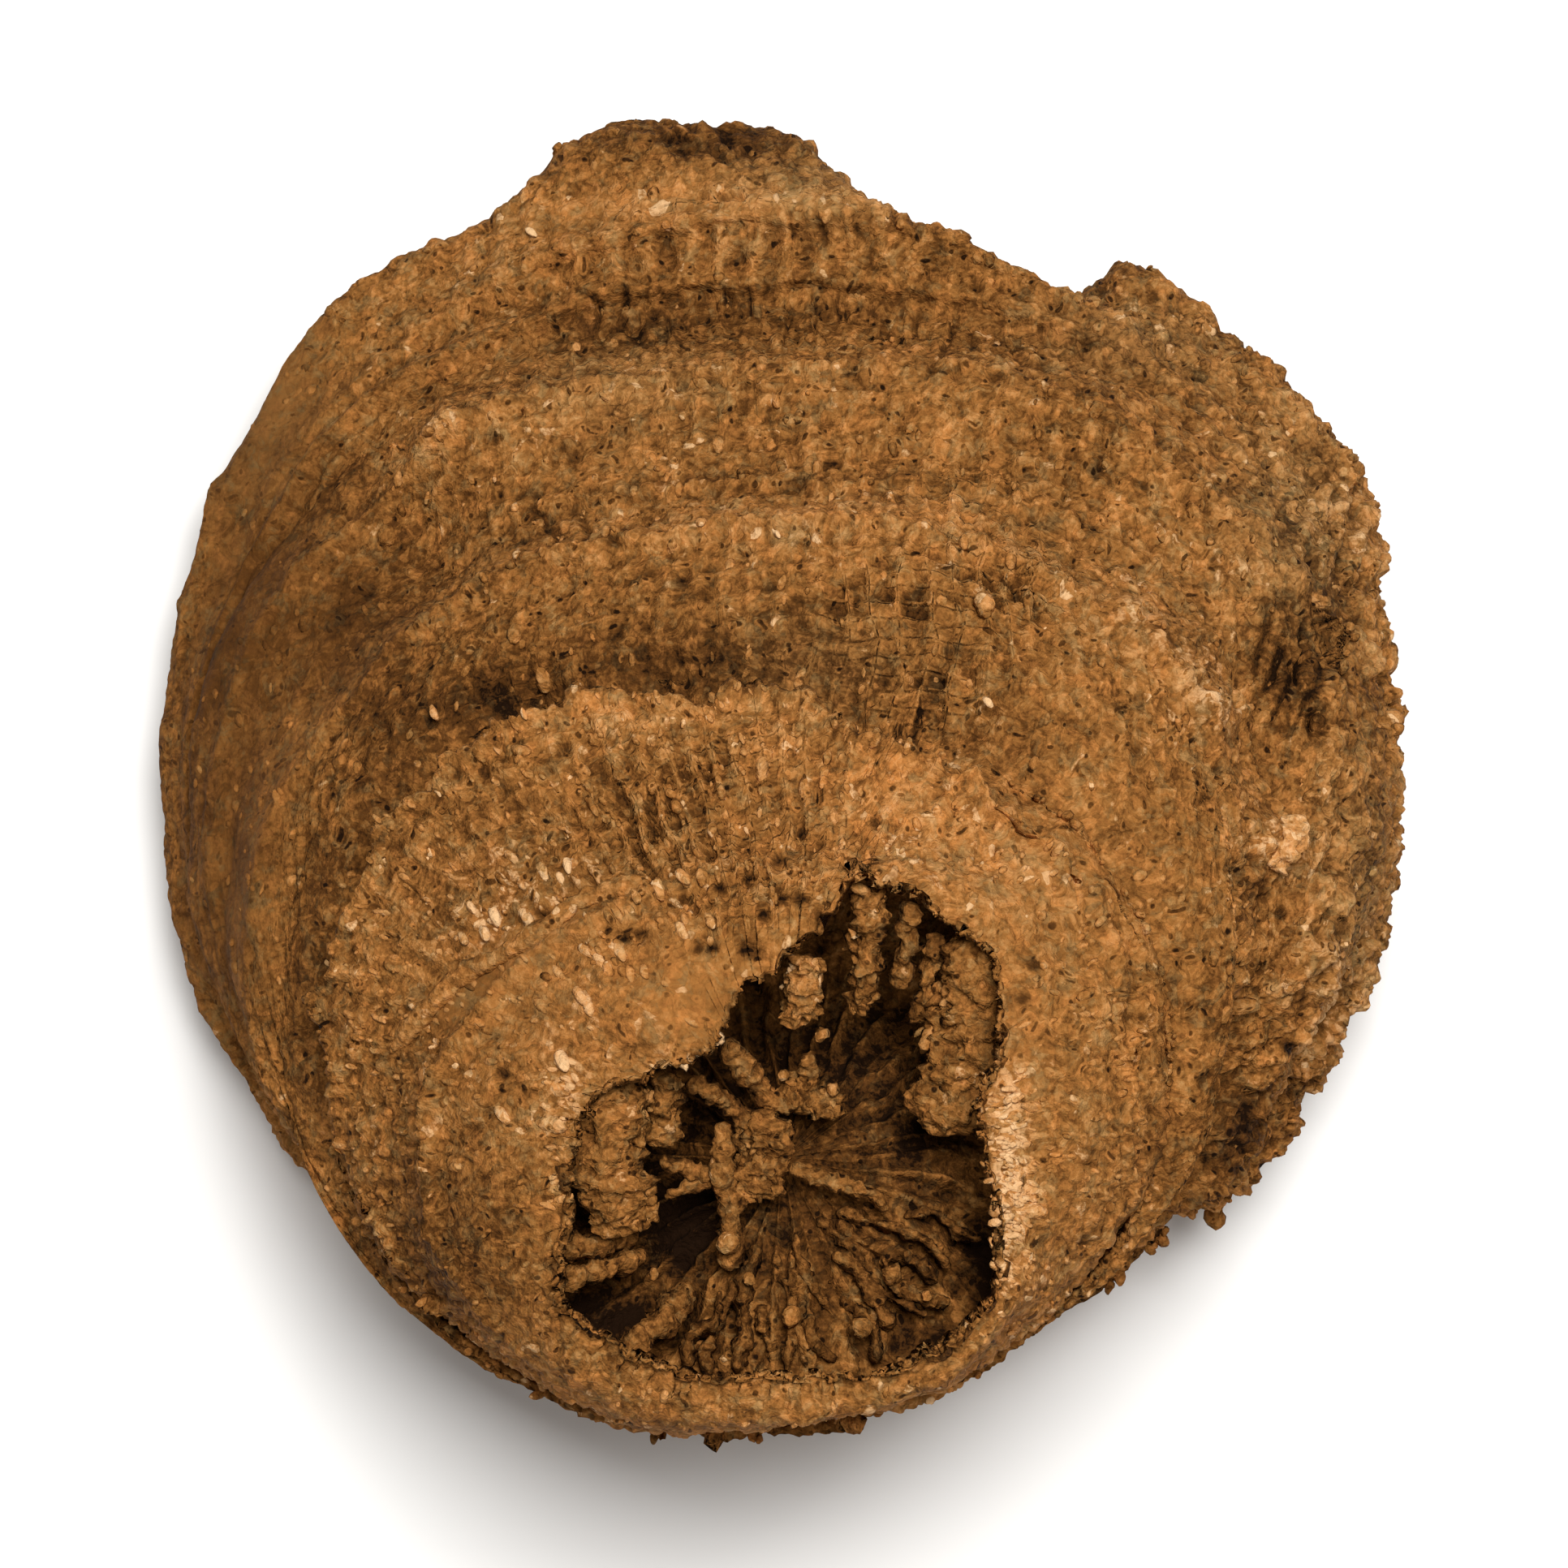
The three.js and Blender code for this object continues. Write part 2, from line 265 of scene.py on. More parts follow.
def packed_grains(turns: np.ndarray, along: np.ndarray, cells: int, pitch: float, seed: int) -> Grains:
    """Grains packed on the wall: so many round a turn, and so long each."""
    return nearest_grain(np.stack([turns * cells, along / pitch], axis=-1), cells, seed)


def crumbs_in_space(points: np.ndarray, pitch: float, seed: int) -> Grains:
    """Grains of one size packed in space, even round the whole coral."""
    return nearest_grain(points / pitch, None, seed)


# -------- finishes


class Sum(Enum):
    """What a node does with two numbers."""

    ADD = "ADD"
    SUBTRACT = "SUBTRACT"
    MULTIPLY = "MULTIPLY"
    MAXIMUM = "MAXIMUM"
    ABSOLUTE = "ABSOLUTE"


@dataclass(frozen=True)
class Crystals:
    """Packed crystals of a material: distance to the own one's middle, and three random numbers of it."""

    away: Socket
    light: Socket
    hue: Socket
    kind: Socket


class Nodes:
    """Nodes of one material, added and joined by short calls."""

    def __init__(self, name: str) -> None:
        """Starts an empty material.

        Args:
            name: Name of the material.
        """
        self.material = bpy.data.materials.new(name)
        self.material.use_nodes = True
        self.tree = self.material.node_tree
        self.tree.nodes.clear()

    def add(self, kind: str, inputs: dict[str | int, object], **settings: object) -> bpy.types.Node:
        """Adds one node.

        Args:
            kind: Blender's name of its kind.
            inputs: What its inputs take, each a plain value or another node's output to join.
            settings: Its own settings.

        Returns:
            The node.
        """
        node = self.tree.nodes.new(kind)
        for name, value in settings.items():
            setattr(node, name, value)
        for key, value in inputs.items():
            if isinstance(value, Socket):
                self.tree.links.new(value, node.inputs[key])
            else:
                node.inputs[key].default_value = value
        return node

    def worked(self, operation: Sum, first: object, second: object, held: bool = False) -> Socket:
        """A number worked out of two, and held between 0 and 1 where that is asked."""
        node = self.add("ShaderNodeMath", {0: first, 1: second}, operation=operation.value, use_clamp=held)
        return node.outputs[0]

    def plus(self, *values: object, held: bool = False) -> Socket:
        """Adds up numbers.

        Args:
            values: Two numbers or more.
            held: True to hold the result between 0 and 1.

        Returns:
            Their sum.
        """
        result, *early, last = values
        for value in early:
            result = self.worked(Sum.ADD, result, value)
        return self.worked(Sum.ADD, result, last, held)

    def minus(self, first: object, second: object) -> Socket:
        """The first number less the second."""
        return self.worked(Sum.SUBTRACT, first, second)

    def times(self, first: object, second: object) -> Socket:
        """The product of two numbers."""
        return self.worked(Sum.MULTIPLY, first, second)

    def span(
        self, value: object, low: float, high: float, new_low: float = 0.0, new_high: float = 1.0,
    ) -> Socket:
        """A number carried smoothly from one range to another, and held inside that."""
        inputs = dict(enumerate((value, low, high, new_low, new_high)))
        return self.add("ShaderNodeMapRange", inputs, interpolation_type="SMOOTHSTEP").outputs[0]

    def swing(self, value: object, size: float, low: float = 0.0, high: float = 1.0) -> Socket:
        """A number carried from low and high to as far below and above 0."""
        return self.span(value, low, high, -size, size)

    def mixed(self, share: object, low: object, high: object) -> Socket:
        """Two colours mixed by a share from 0 to 1."""
        return self.add("ShaderNodeMix", {"Factor": share, 6: low, 7: high}, data_type="RGBA").outputs[2]

    def layer(self, name: str, output: str = "Fac") -> Socket:
        """What the mesh carries at each point."""
        return self.add("ShaderNodeAttribute", {}, attribute_name=name).outputs[output]

    def places(self) -> Socket:
        """Places on the piece, in mm."""
        middle = self.add("ShaderNodeTexCoord", {}).outputs["Object"]
        return self.add("ShaderNodeMapping", {"Vector": middle, "Scale": (1 / MM,) * 3}).outputs["Vector"]

    def noise(self, places: object, scale: float, detail: float, roughness: float = 0.6) -> Socket:
        """Cloudy noise from 0 to 1, with so many lumps to a mm."""
        inputs = {"Vector": places, "Scale": scale, "Detail": detail, "Roughness": roughness}
        return self.add("ShaderNodeTexNoise", inputs).outputs["Fac"]

    def crystals(self, places: object, scale: float) -> Crystals:
        """Packs crystals.

        Args:
            places: Places in mm.
            scale: Crystals to a mm.

        Returns:
            Their numbers.
        """
        node = self.add("ShaderNodeTexVoronoi", {"Vector": places, "Scale": scale})
        numbers = self.add("ShaderNodeSeparateColor", {0: node.outputs["Color"]})
        return Crystals(node.outputs["Distance"], *numbers.outputs)

    def ramp(self, value: object, stops: Stops) -> Socket:
        """Picks a colour by a number along a row of colours.

        Args:
            value: The number.
            stops: Places from 0 to 1, each with its colour.

        Returns:
            The colour.
        """
        node = self.add("ShaderNodeValToRGB", {0: value})
        row = node.color_ramp.elements
        while len(row) < len(stops):
            row.new(0.5)
        for element, (place, colour) in zip(row, stops):
            element.position = place
            element.color = (*colour, 1.0)
        return node.outputs[0]

    def bump(self, height: object, strength: float, depth: float) -> Socket:
        """Uneven direction of a surface whose height of 1 is so many mm deep."""
        inputs = {"Strength": strength, "Distance": depth * MM, "Height": height}
        return self.add("ShaderNodeBump", inputs).outputs["Normal"]

    def finish(self, colour: object, roughness: object, gloss: float, **more: object) -> bpy.types.Material:
        """Joins everything to the shader.

        Args:
            colour: Colour of the surface.
            roughness: How matt it is.
            gloss: How strongly it reflects.
            more: Other inputs of the shader.

        Returns:
            The finished material.
        """
        inputs = {"Base Color": colour, "Roughness": roughness, "Specular IOR Level": gloss, **more}
        shader = self.add("ShaderNodeBsdfPrincipled", inputs)
        self.add("ShaderNodeOutputMaterial", {"Surface": shader.outputs[0]})
        return self.material


@dataclass(frozen=True)
class CrustStone:
    """Weathered brown limestone crust, paler on its grains and dark in its pits: partly its own colour,
    partly painted highlight on the grains and painted shade in the pits.
    """

    name: str = "crust_stone"
    # darkest brown, reached where painted shade fills the voids and pits
    shade_black: Colour = (0.010, 0.0036, 0.0008)
    umber: Colour = (0.090, 0.033, 0.0062)
    ochre: Colour = (0.245, 0.100, 0.0225)
    tan: Colour = (0.455, 0.212, 0.068)
    calcite: Colour = (0.640, 0.400, 0.200)
    rust: Colour = (0.470, 0.175, 0.040)
    olive: Colour = (0.290, 0.168, 0.058)
    lightness: float = 0.49
    roughness: float = 0.9
    gloss: float = 0.06
    shine: float = 0.35  # how much smoother the white crystals are
    crumbs_to_a_mm: float = 2.9
    bits_to_a_mm: float = 6.0
    grain_swing: float = 0.10  # how far each form lightens and darkens the stone
    crumb_swing: float = 0.065
    bit_swing: float = 0.055
    patch_swing: float = 0.04
    seam_dark: float = 0.07
    crack_dark: float = 0.28
    # painted shade in the crumbs' pits
    hole_shade: float = 0.32
    # painted highlight and shade from the relief
    relief_and_shade_light: float = 0.17
    # the wall's own tone together with its painted light and shade
    tone_and_shade_light: float = 0.24
    calmed: float = 0.75  # share of the mottle that is gone where the wall is calm
    crumb_hue: float = 0.09  # how far each form carries the stone towards rust and olive
    bit_hue: float = 0.05
    tint_share: float = 0.6
    rust_stain: float = 0.35
    olive_stain: float = 0.4
    white_share: float = 0.75
    bump_depth: float = 0.2  # in mm
    bump_strength: float = 0.8

    def make(self) -> bpy.types.Material:
        """Builds the material.

        Returns:
            The material, which reads the layers that a piece of the coral carries.
        """
        nodes = Nodes(self.name)
        places = nodes.places()
        grown = nodes.layer("grown", "Vector")
        calm = nodes.minus(1.0, nodes.times(nodes.layer("calm"), self.calmed))
        fine = nodes.noise(places, 3.6, 2.0, 0.75)
        crumbs = nodes.crystals(grown, self.crumbs_to_a_mm)
        bits = nodes.crystals(grown, self.bits_to_a_mm)
        cracks = self.cracks(nodes, fine)
        mottle = nodes.plus(
            nodes.swing(fine, self.grain_swing, 0.25, 0.75),
            nodes.swing(crumbs.light, self.crumb_swing),
            nodes.swing(bits.light, self.bit_swing),
            nodes.times(nodes.span(crumbs.away, 0.5, 0.8), -self.seam_dark),
            nodes.times(cracks, -self.crack_dark),
            nodes.times(self.holes(nodes, crumbs), -self.hole_shade),
        )
        # Lightness: the stone's own mottle and patches, with painted highlight and shade from the relief and
        # from the tone-and-shade layer.
        light = nodes.plus(
            self.lightness,
            nodes.times(nodes.layer("relief"), self.relief_and_shade_light),
            nodes.times(nodes.layer("tone"), self.tone_and_shade_light),
            nodes.swing(nodes.noise(places, 0.55, 1.0), self.patch_swing, 0.3, 0.7),
            nodes.times(mottle, calm),
            held=True,
        )
        hue = nodes.plus(nodes.swing(crumbs.hue, self.crumb_hue), nodes.swing(bits.hue, self.bit_hue))
        colour = self.tinted(nodes, light, nodes.plus(nodes.noise(places, 1.0, 3.0, 0.7), hue))
        white = self.white(nodes, light, crumbs)
        colour = nodes.mixed(white, colour, (*self.calcite, 1.0))
        height = nodes.plus(
            nodes.times(fine, 0.9),
            nodes.times(crumbs.away, -0.55),
            nodes.times(crumbs.light, 0.35),
            nodes.times(cracks, -1.0),
        )
        uneven = nodes.bump(nodes.times(height, calm), self.bump_strength, self.bump_depth)
        roughness = nodes.minus(self.roughness, nodes.times(white, self.shine))
        return nodes.finish(colour, roughness, self.gloss, Normal=uneven)

    def cracks(self, nodes: Nodes, fine: Socket) -> Socket:
        """Dark lines between the ribs and between the chambers.

        Args:
            nodes: The material's nodes.
            fine: Noise that breaks the lines up.

        Returns:
            1 in a crack and 0 beside it.
        """
        upright, level = (
            nodes.span(nodes.worked(Sum.ABSOLUTE, nodes.layer(title), 0.0), 0.0, width, depth, 0.0)
            for title, width, depth in (("septum", 0.16, 1.0), ("story", 0.22, 0.85))
        )
        cracks = nodes.times(nodes.worked(Sum.MAXIMUM, upright, level), nodes.layer("ribbed"))
        return nodes.times(cracks, nodes.span(fine, 0.4, 0.62))

    def holes(self, nodes: Nodes, crumbs: Crystals) -> Socket:
        """1 in the pits that a few of the crumbs have left, and 0 beside them; these pits take painted shade.
        """
        return nodes.times(nodes.span(crumbs.away, 0.42, 0.24), nodes.span(crumbs.kind, 0.15, 0.13))

    def tinted(self, nodes: Nodes, light: Socket, drift: Socket) -> Socket:
        """Brown of the crust, with its rusty and olive parts.

        Args:
            nodes: The material's nodes.
            light: Lightness of the stone.
            drift: High where the stone turns to rust, and low where it turns to olive.

        Returns:
            The colour.
        """
        browns = (self.shade_black, self.umber, self.ochre, self.tan, self.calcite)
        colour = nodes.ramp(light, tuple(zip((0.0, 0.26, 0.5, 0.76, 1.0), browns)))
        warm = nodes.span(drift, 0.48, 0.74, 0.0, self.tint_share)
        cool = nodes.span(nodes.minus(1.0, drift), 0.5, 0.76, 0.0, self.tint_share)
        for title, tint, share, stain in (
            ("rust", self.rust, warm, self.rust_stain), ("olive", self.olive, cool, self.olive_stain),
        ):
            share = nodes.plus(share, nodes.times(nodes.layer(title), stain), held=True)
            colour = nodes.mixed(share, colour, nodes.ramp(light, self.shades(tint)))
        return colour

    def white(self, nodes: Nodes, light: Socket, crumbs: Crystals) -> Socket:
        """Crumbs that are white calcite: a few everywhere, and many in the pale patches.

        Args:
            nodes: The material's nodes.
            light: Lightness of the stone.
            crumbs: The crumbs.

        Returns:
            Share of white in the colour.
        """
        many = nodes.times(nodes.layer("pale"), nodes.span(crumbs.kind, 0.35, 0.45))
        chosen = nodes.plus(nodes.span(crumbs.kind, 0.955, 0.98), many, held=True)
        return nodes.times(chosen, nodes.span(light, 0.42, 0.7, 0.0, self.white_share))

    def shades(self, tint: Colour) -> Stops:
        """Row of colours for a tinted part of the crust.

        Args:
            tint: Its colour in plain light.

        Returns:
            Colours from dark to light.
        """
        dark = tuple(value * 0.2 for value in tint)
        pale = tuple(value * 0.5 + other * 0.62 for value, other in zip(tint, self.calcite))
        return ((0.0, self.shade_black), (0.26, dark), (0.62, tint), (1.0, pale))


@dataclass(frozen=True)
class PaleFloor:
    """Plain pale paper that the fossil lies on."""

    name: str = "pale_floor"
    colour: Colour = (0.78, 0.77, 0.75)
    roughness: float = 0.9
    gloss: float = 0.2

    def make(self) -> bpy.types.Material:
        """Builds the material, plain and matt."""
        return Nodes(self.name).finish((*self.colour, 1.0), self.roughness, self.gloss)


# -------- growth rings


class Form(Enum):
    """Forms of the crust, by the field of a skin that holds their strength."""

    RIBS = "ribs"
    BEADS = "beads"
    KNOBS = "knobs"
    WAVES = "waves"
    PAINTED_SHADE = "painted_shade"
    SEPTA = "septa"


@dataclass(frozen=True)
class Skin:
    """How rough the crust is at a growth ring; 1 is the full strength of each form."""

    ribs: float = 0.0  # septal ribs with narrow grooves
    beads: float = 0.0  # fine grains
    knobs: float = 0.0  # round nodules
    waves: float = 1.0  # broad unevenness
    painted_shade: float = 0.0  # painted shade in a furrow and in the hollow
    septa: float = 0.0  # radial septa of the hollow's floor


@dataclass(frozen=True)
class Ring:
    """Growth ring of the coral: where its wall stood at one time."""

    centre: float  # place of the ring's middle along the coral's length
    reach: tuple[float, ...]  # distances from the middle, evenly round from +X
    height: tuple[float, ...]
    rows: int = 1  # rows of the mesh up to the next ring
    skin: Skin = Skin()
    crisp: float = 0.0  # 1 where the wall turns sharply
    teeth: float = 0.0  # jagged lip, grown away from the tip; below 0 it stands up from the wall
    ragged: float = 0.0  # jags of the broken edge in mm, for rings that follow it
    widened: float = 0.0  # how far outside the broken edge such a ring lies


@dataclass(frozen=True)
class Stain:
    """Soft patch seen from above: place, half-sizes in mm and strength."""

    x: float
    y: float
    wide: float
    deep: float
    strength: float

    def at(self, points: np.ndarray) -> np.ndarray:
        """Strength of the patch at each point."""
        away = ((points[..., 0] - self.x) / self.wide) ** 2 + ((points[..., 1] - self.y) / self.deep) ** 2
        return self.strength * np.exp(-away)


@dataclass(frozen=True)
class Lump:
    """Swelling of the wall, or a pit where its rise is below 0."""

    at: Point
    size: float
    rise: float

    def lift(self, points: np.ndarray) -> np.ndarray:
        """How far the swelling pushes each point out, in mm."""
        away = np.linalg.norm(points - np.array(self.at), axis=-1) / self.size
        return self.rise * np.exp(-away * away)


@dataclass(frozen=True)
class Ledge:
    """Growth ledge that runs beside a ring."""

    ring: int  # ring of its stage
    offset: float  # how far beyond the ring its edge lies, in mm
    rise: float
    length: float = 0.9  # how slowly it rises, in mm
    drop: float = 0.16  # how fast it drops
    side: tuple[float, ...] = (1.0,)  # its share of the rise, evenly round from +X


def stains(*rows: tuple[float, float, float, float, float]) -> tuple[Stain, ...]:
    """Patches by x, y, both half-sizes and strength."""
    return tuple(Stain(*row) for row in rows)


def lumps(*rows: tuple[float, float, float, float, float]) -> tuple[Lump, ...]:
    """Swellings by x, y, z, size and rise."""
    return tuple(Lump(row[:3], *row[3:]) for row in rows)


# Small holes in the wall, each darkened with painted shade.
PITS = (
    (-5.3, -7.2, 30.4), (-5.9, -7.3, 30.0), (-0.1, -4.5, 30.0), (0.7, -3.4, 28.5), (-3.1, -7.8, 31.2),
    (-2.6, -7.8, 31.0), (-1.4, -7.8, 30.9), (0.0, -6.0, 31.0), (0.6, -6.0, 30.9), (-1.0, -7.9, 30.9),
    (-8.9, -6.3, 27.1), (-10.3, -12.2, 28.9), (-2.3, -5.5, 29.8), (1.4, -6.8, 30.6), (9.1, -8.3, 29.2),
    (8.7, -9.6, 29.6), (19.2, -10.5, 14.5), (-1.3, -5.2, 30.2), (-0.7, -6.6, 31.0), (-3.6, -5.9, 30.2),
)

# Swellings and dents of the wall: place, size and rise.
LUMPS = lumps(
    (14.9, 4.6, 21.5, 1.7, 1.1), (16.6, 2.4, 21.6, 1.5, 1.0), (18.6, -2.6, 20.8, 1.7, 1.7),
    (13.6, 20.9, 8.5, 2.2, 2.6), (10.0, 20.6, 9.5, 2.0, -1.6), (19.6, -7.4, 18.8, 2.6, 1.1),
    (17.4, -14.6, 14.6, 2.4, 1.2), (12.8, -18.8, 10.0, 3.2, -2.2), (19.6, 4.6, 16.8, 1.9, -1.6),
    (-10.8, 2.8, 21.2, 1.8, -1.5), (-14.8, 9.8, 14.6, 2.8, -1.3), (-12.8, 13.6, 13.6, 2.4, 0.9),
    (12.9, 5.8, 22.0, 0.7, 0.45), (13.7, 5.0, 22.7, 0.6, 0.4), (14.5, 4.1, 23.2, 0.7, 0.45),
    (15.9, 4.7, 20.3, 0.8, 0.5), (17.0, 4.9, 18.7, 0.7, 0.5), (15.1, 3.1, 23.3, 0.6, 0.4),
    (16.2, 2.1, 22.9, 0.8, 0.6), (15.3, 1.4, 23.0, 0.6, 0.4), (16.4, 1.1, 23.0, 0.6, 0.4),
    (17.5, 2.1, 19.8, 0.7, 0.5), (17.0, 7.8, 18.2, 0.7, 0.45), (18.1, 9.6, 17.2, 0.8, 0.45),
    (19.0, -3.1, 20.7, 0.9, 0.9), (17.9, -2.7, 22.0, 0.8, 0.5), (20.9, 3.1, 17.8, 0.9, 0.6),
    (20.7, 9.0, 14.8, 1.1, 0.7), (19.7, 7.6, 17.0, 0.9, 0.5), (19.3, 4.1, 18.5, 0.9, -0.7),
    (20.2, 5.2, 16.9, 0.7, -0.9), (20.2, 1.9, 19.5, 0.7, -0.8), (17.2, -4.6, 23.2, 0.8, -0.8),
    (19.1, 6.6, 17.9, 0.6, -0.7), (-9.2, 2.7, 20.5, 0.9, -0.7), (-4.6, 2.9, 22.0, 1.1, -0.5),
    (15.8, -16.4, 8.5, 2.2, 0.8), (-22.5, -5.0, 5.6, 2.4, 0.5), (-22.0, 9.8, 5.8, 3.0, -0.5),
    (22.9, -2.6, 8.8, 2.0, -0.7), (22.4, 6.8, 8.8, 2.0, -0.6), (7.2, 20.8, 7.5, 2.0, -0.7),
    (17.5, 16.1, 8.4, 2.0, -0.4), (-12.8, -19.2, 6.0, 3.0, -0.7), (-4.6, 27.2, 6.6, 2.2, -0.6),
    (0.2, 26.6, 6.4, 2.2, 0.7),
) + tuple(Lump(place, PIT_SIZE, -PIT_DEPTH) for place in PITS)

# Lighter and darker patches of the wall: partly the stone's own tone, partly painted light on sides that face
# the lamps and painted shade on sides turned away, with a painted highlight along the tip's lip and painted
# shade in each pit.
TONES_AND_SHADE = stains(
    (-2.8, 26.0, 5.3, 1.1, -0.4), (-2.7, 23.2, 7.8, 1.1, 0.55), (-3.4, 18.7, 6.0, 0.9, -0.45),
    (-13.5, 14.0, 2.8, 1.3, 0.3), (-7.8, 16.2, 3.1, 1.3, 0.15), (-0.5, 9.0, 10.7, 1.5, 0.35),
    (11.5, 5.5, 3.5, 1.9, 0.25), (-4.0, 3.7, 3.0, 1.3, -0.6), (-10.7, 2.6, 1.1, 1.3, -0.9),
    (-15.1, 2.3, 1.9, 1.6, -0.5), (-13.5, 4.3, 1.9, 1.3, -0.3), (-15.0, 10.4, 2.2, 1.6, -0.35),
    (-12.7, 8.0, 2.2, 1.3, -0.3), (-3.5, 1.6, 7.2, 0.8, 0.4), (4.6, -2.4, 3.5, 2.8, 0.4),
    (8.5, -4.8, 2.5, 1.9, 0.3), (19.4, 4.3, 1.4, 1.9, -0.7), (17.5, -4.0, 0.9, 0.8, -0.6),
    (15.9, -9.2, 1.9, 1.6, -0.35), (17.0, -12.7, 1.6, 1.3, -0.4), (14.4, -14.7, 1.3, 1.3, -0.45),
    (16.1, 2.5, 1.6, 1.1, 0.5), (18.6, -3.2, 1.4, 0.9, 0.85), (8.5, -15.1, 1.1, 3.5, 0.5),
    (-21.8, 4.4, 2.8, 11.0, -0.25), (2.8, -24.3, 5.3, 0.8, 0.15), (-7.9, -12.4, 1.3, 1.9, 0.25),
    (-9.8, -7.2, 2.2, 1.3, 0.25), (-21.4, -6.1, 2.2, 3.8, -0.3), (11.0, -2.6, 1.9, 1.9, 0.1),
    (6.9, 21.1, 1.9, 0.9, -0.2), (22.0, -6.4, 1.3, 2.8, -0.2), (-12.4, -2.2, 2.5, 1.3, -0.25),
    (-6.2, -1.7, 2.8, 1.3, -0.15), (-16.8, 6.5, 2.8, 3.0, -0.95), (-22.0, 4.0, 3.2, 11.0, -0.55),
    (-2.8, 26.8, 5.4, 1.4, -0.6), (18.6, -13.4, 2.6, 2.6, -0.9), (-19.6, 15.5, 2.6, 4.0, -0.35),
    (-12.0, -18.5, 3.2, 2.6, -0.75), (19.9, 3.4, 1.4, 1.9, -0.3), (6.6, 10.0, 2.6, 1.4, 0.25),
    (10.5, 13.0, 2.4, 2.0, -0.25), (21.0, 8.6, 1.6, 2.4, -0.3), (15.4, 3.4, 1.8, 2.2, -0.15),
    (19.3, 4.1, 0.7, 0.6, -0.25), (20.2, 2.0, 0.5, 0.5, -0.6), (17.2, -4.6, 0.7, 0.5, -0.9),
    (19.1, 6.6, 0.5, 0.5, -0.8), (-3.2, 26.4, 4.0, 1.5, -0.3), (-9.8, 1.5, 1.0, 0.35, 0.25),
    (-7.9, 1.7, 1.0, 0.35, 0.25), (-6.0, 1.2, 1.0, 0.35, 0.2), (-4.2, 0.9, 1.0, 0.35, 0.15),
    (-2.4, 1.4, 1.0, 0.35, 0.15), (-0.3, 1.7, 1.2, 0.35, 0.3), (1.9, 1.0, 1.2, 0.4, 0.3),
    (-3.7, -12.0, 0.9, 0.35, 0.9), (13.9, 18.0, 3.0, 2.5, -0.15), (10.9, -6.4, 3.2, 2.6, 0.15),
    (4.6, -2.5, 3.4, 1.6, 0.15), (14.8, -11.5, 2.2, 2.2, 0.2), (8.2, -16.0, 0.5, 3.4, 0.25),
) + tuple(Stain(x, y, PIT_SIZE * 0.8, PIT_SIZE * 0.7, PIT_SHADE) for x, y, _ in PITS)

# Painted shadow in the dark voids inside the hollow.
HOLLOW_SHADE = stains(
    (-3.8, -17.2, 1.5, 2.2, -2.2), (-6.6, -20.9, 1.9, 1.0, -2.2), (0.5, -10.6, 5.5, 2.8, -1.3),
    (7.6, -18.7, 0.8, 2.2, -1.8), (5.2, -21.9, 1.5, 0.6, -1.4), (4.6, -13.4, 1.8, 2.2, -0.8),
    (0.5, -17.5, 6.0, 4.0, -0.75), (-6.2, -14.8, 1.6, 2.6, -1.4), (-2.9, -12.8, 1.4, 1.2, -1.0),
)

# Patches of rusty stone.
RUST = stains(
    (4.3, -2.1, 3.8, 2.8, 1.0), (-6.4, -9.5, 2.8, 2.2, 0.7), (-15.1, 3.8, 1.9, 1.3, 0.5),
    (-21.3, -0.5, 1.9, 1.9, 0.5), (5.1, 9.5, 2.8, 0.9, 0.5), (-8.1, 1.5, 2.2, 0.9, 0.4),
    (8.7, -10.1, 1.3, 1.9, 0.5),
)

# Patches with many white crystals.
PALE = stains(
    (13.2, 5.6, 0.6, 0.5, 1.0), (14.6, 4.3, 0.9, 0.6, 0.9), (16.2, 2.2, 0.9, 1.2, 1.0),
    (17.0, 7.8, 1.2, 0.3, 0.8), (18.6, -3.1, 1.4, 0.7, 1.0), (20.4, 8.6, 0.6, 1.0, 0.7),
    (8.2, -15.7, 0.55, 3.6, 1.0), (-19.6, 11.9, 1.6, 1.3, 0.7), (-9.5, -5.1, 1.9, 1.6, 0.8),
    (-11.0, -6.1, 1.9, 1.3, 0.7), (-9.9, 21.9, 0.3, 0.3, 1.0), (-3.5, -11.9, 1.1, 0.45, 1.0),
    (-8.2, -4.7, 1.2, 0.7, 1.0), (-10.6, -6.3, 1.0, 0.8, 1.0), (7.6, 1.9, 0.6, 0.9, 0.7),
    (-7.9, -12.7, 0.9, 1.9, 0.6), (21.1, -8.6, 1.9, 2.2, 0.5), (21.9, 10.3, 1.6, 1.9, 0.3),
)

# Patches of olive stone.
OLIVE = stains(
    (1.1, 24.2, 3.8, 1.9, 0.8), (19.9, 10.2, 2.8, 4.7, 1.0), (13.8, 17.7, 3.8, 1.9, 0.8),
    (22.1, -3.9, 1.9, 4.7, 0.8), (-6.5, 15.7, 3.8, 1.9, 0.6), (-21.5, 15.9, 2.8, 3.8, 0.5),
    (1.0, 3.7, 3.8, 1.9, 0.5),
)

# Pale broken crystals beside the hollow.
CRYSTALS = stains(
    (8.3, -16.4, 0.6, 2.6, 1.0), (-8.1, -12.2, 0.5, 1.3, 0.35), (-8.3, -15.5, 0.5, 1.6, 0.25),
)

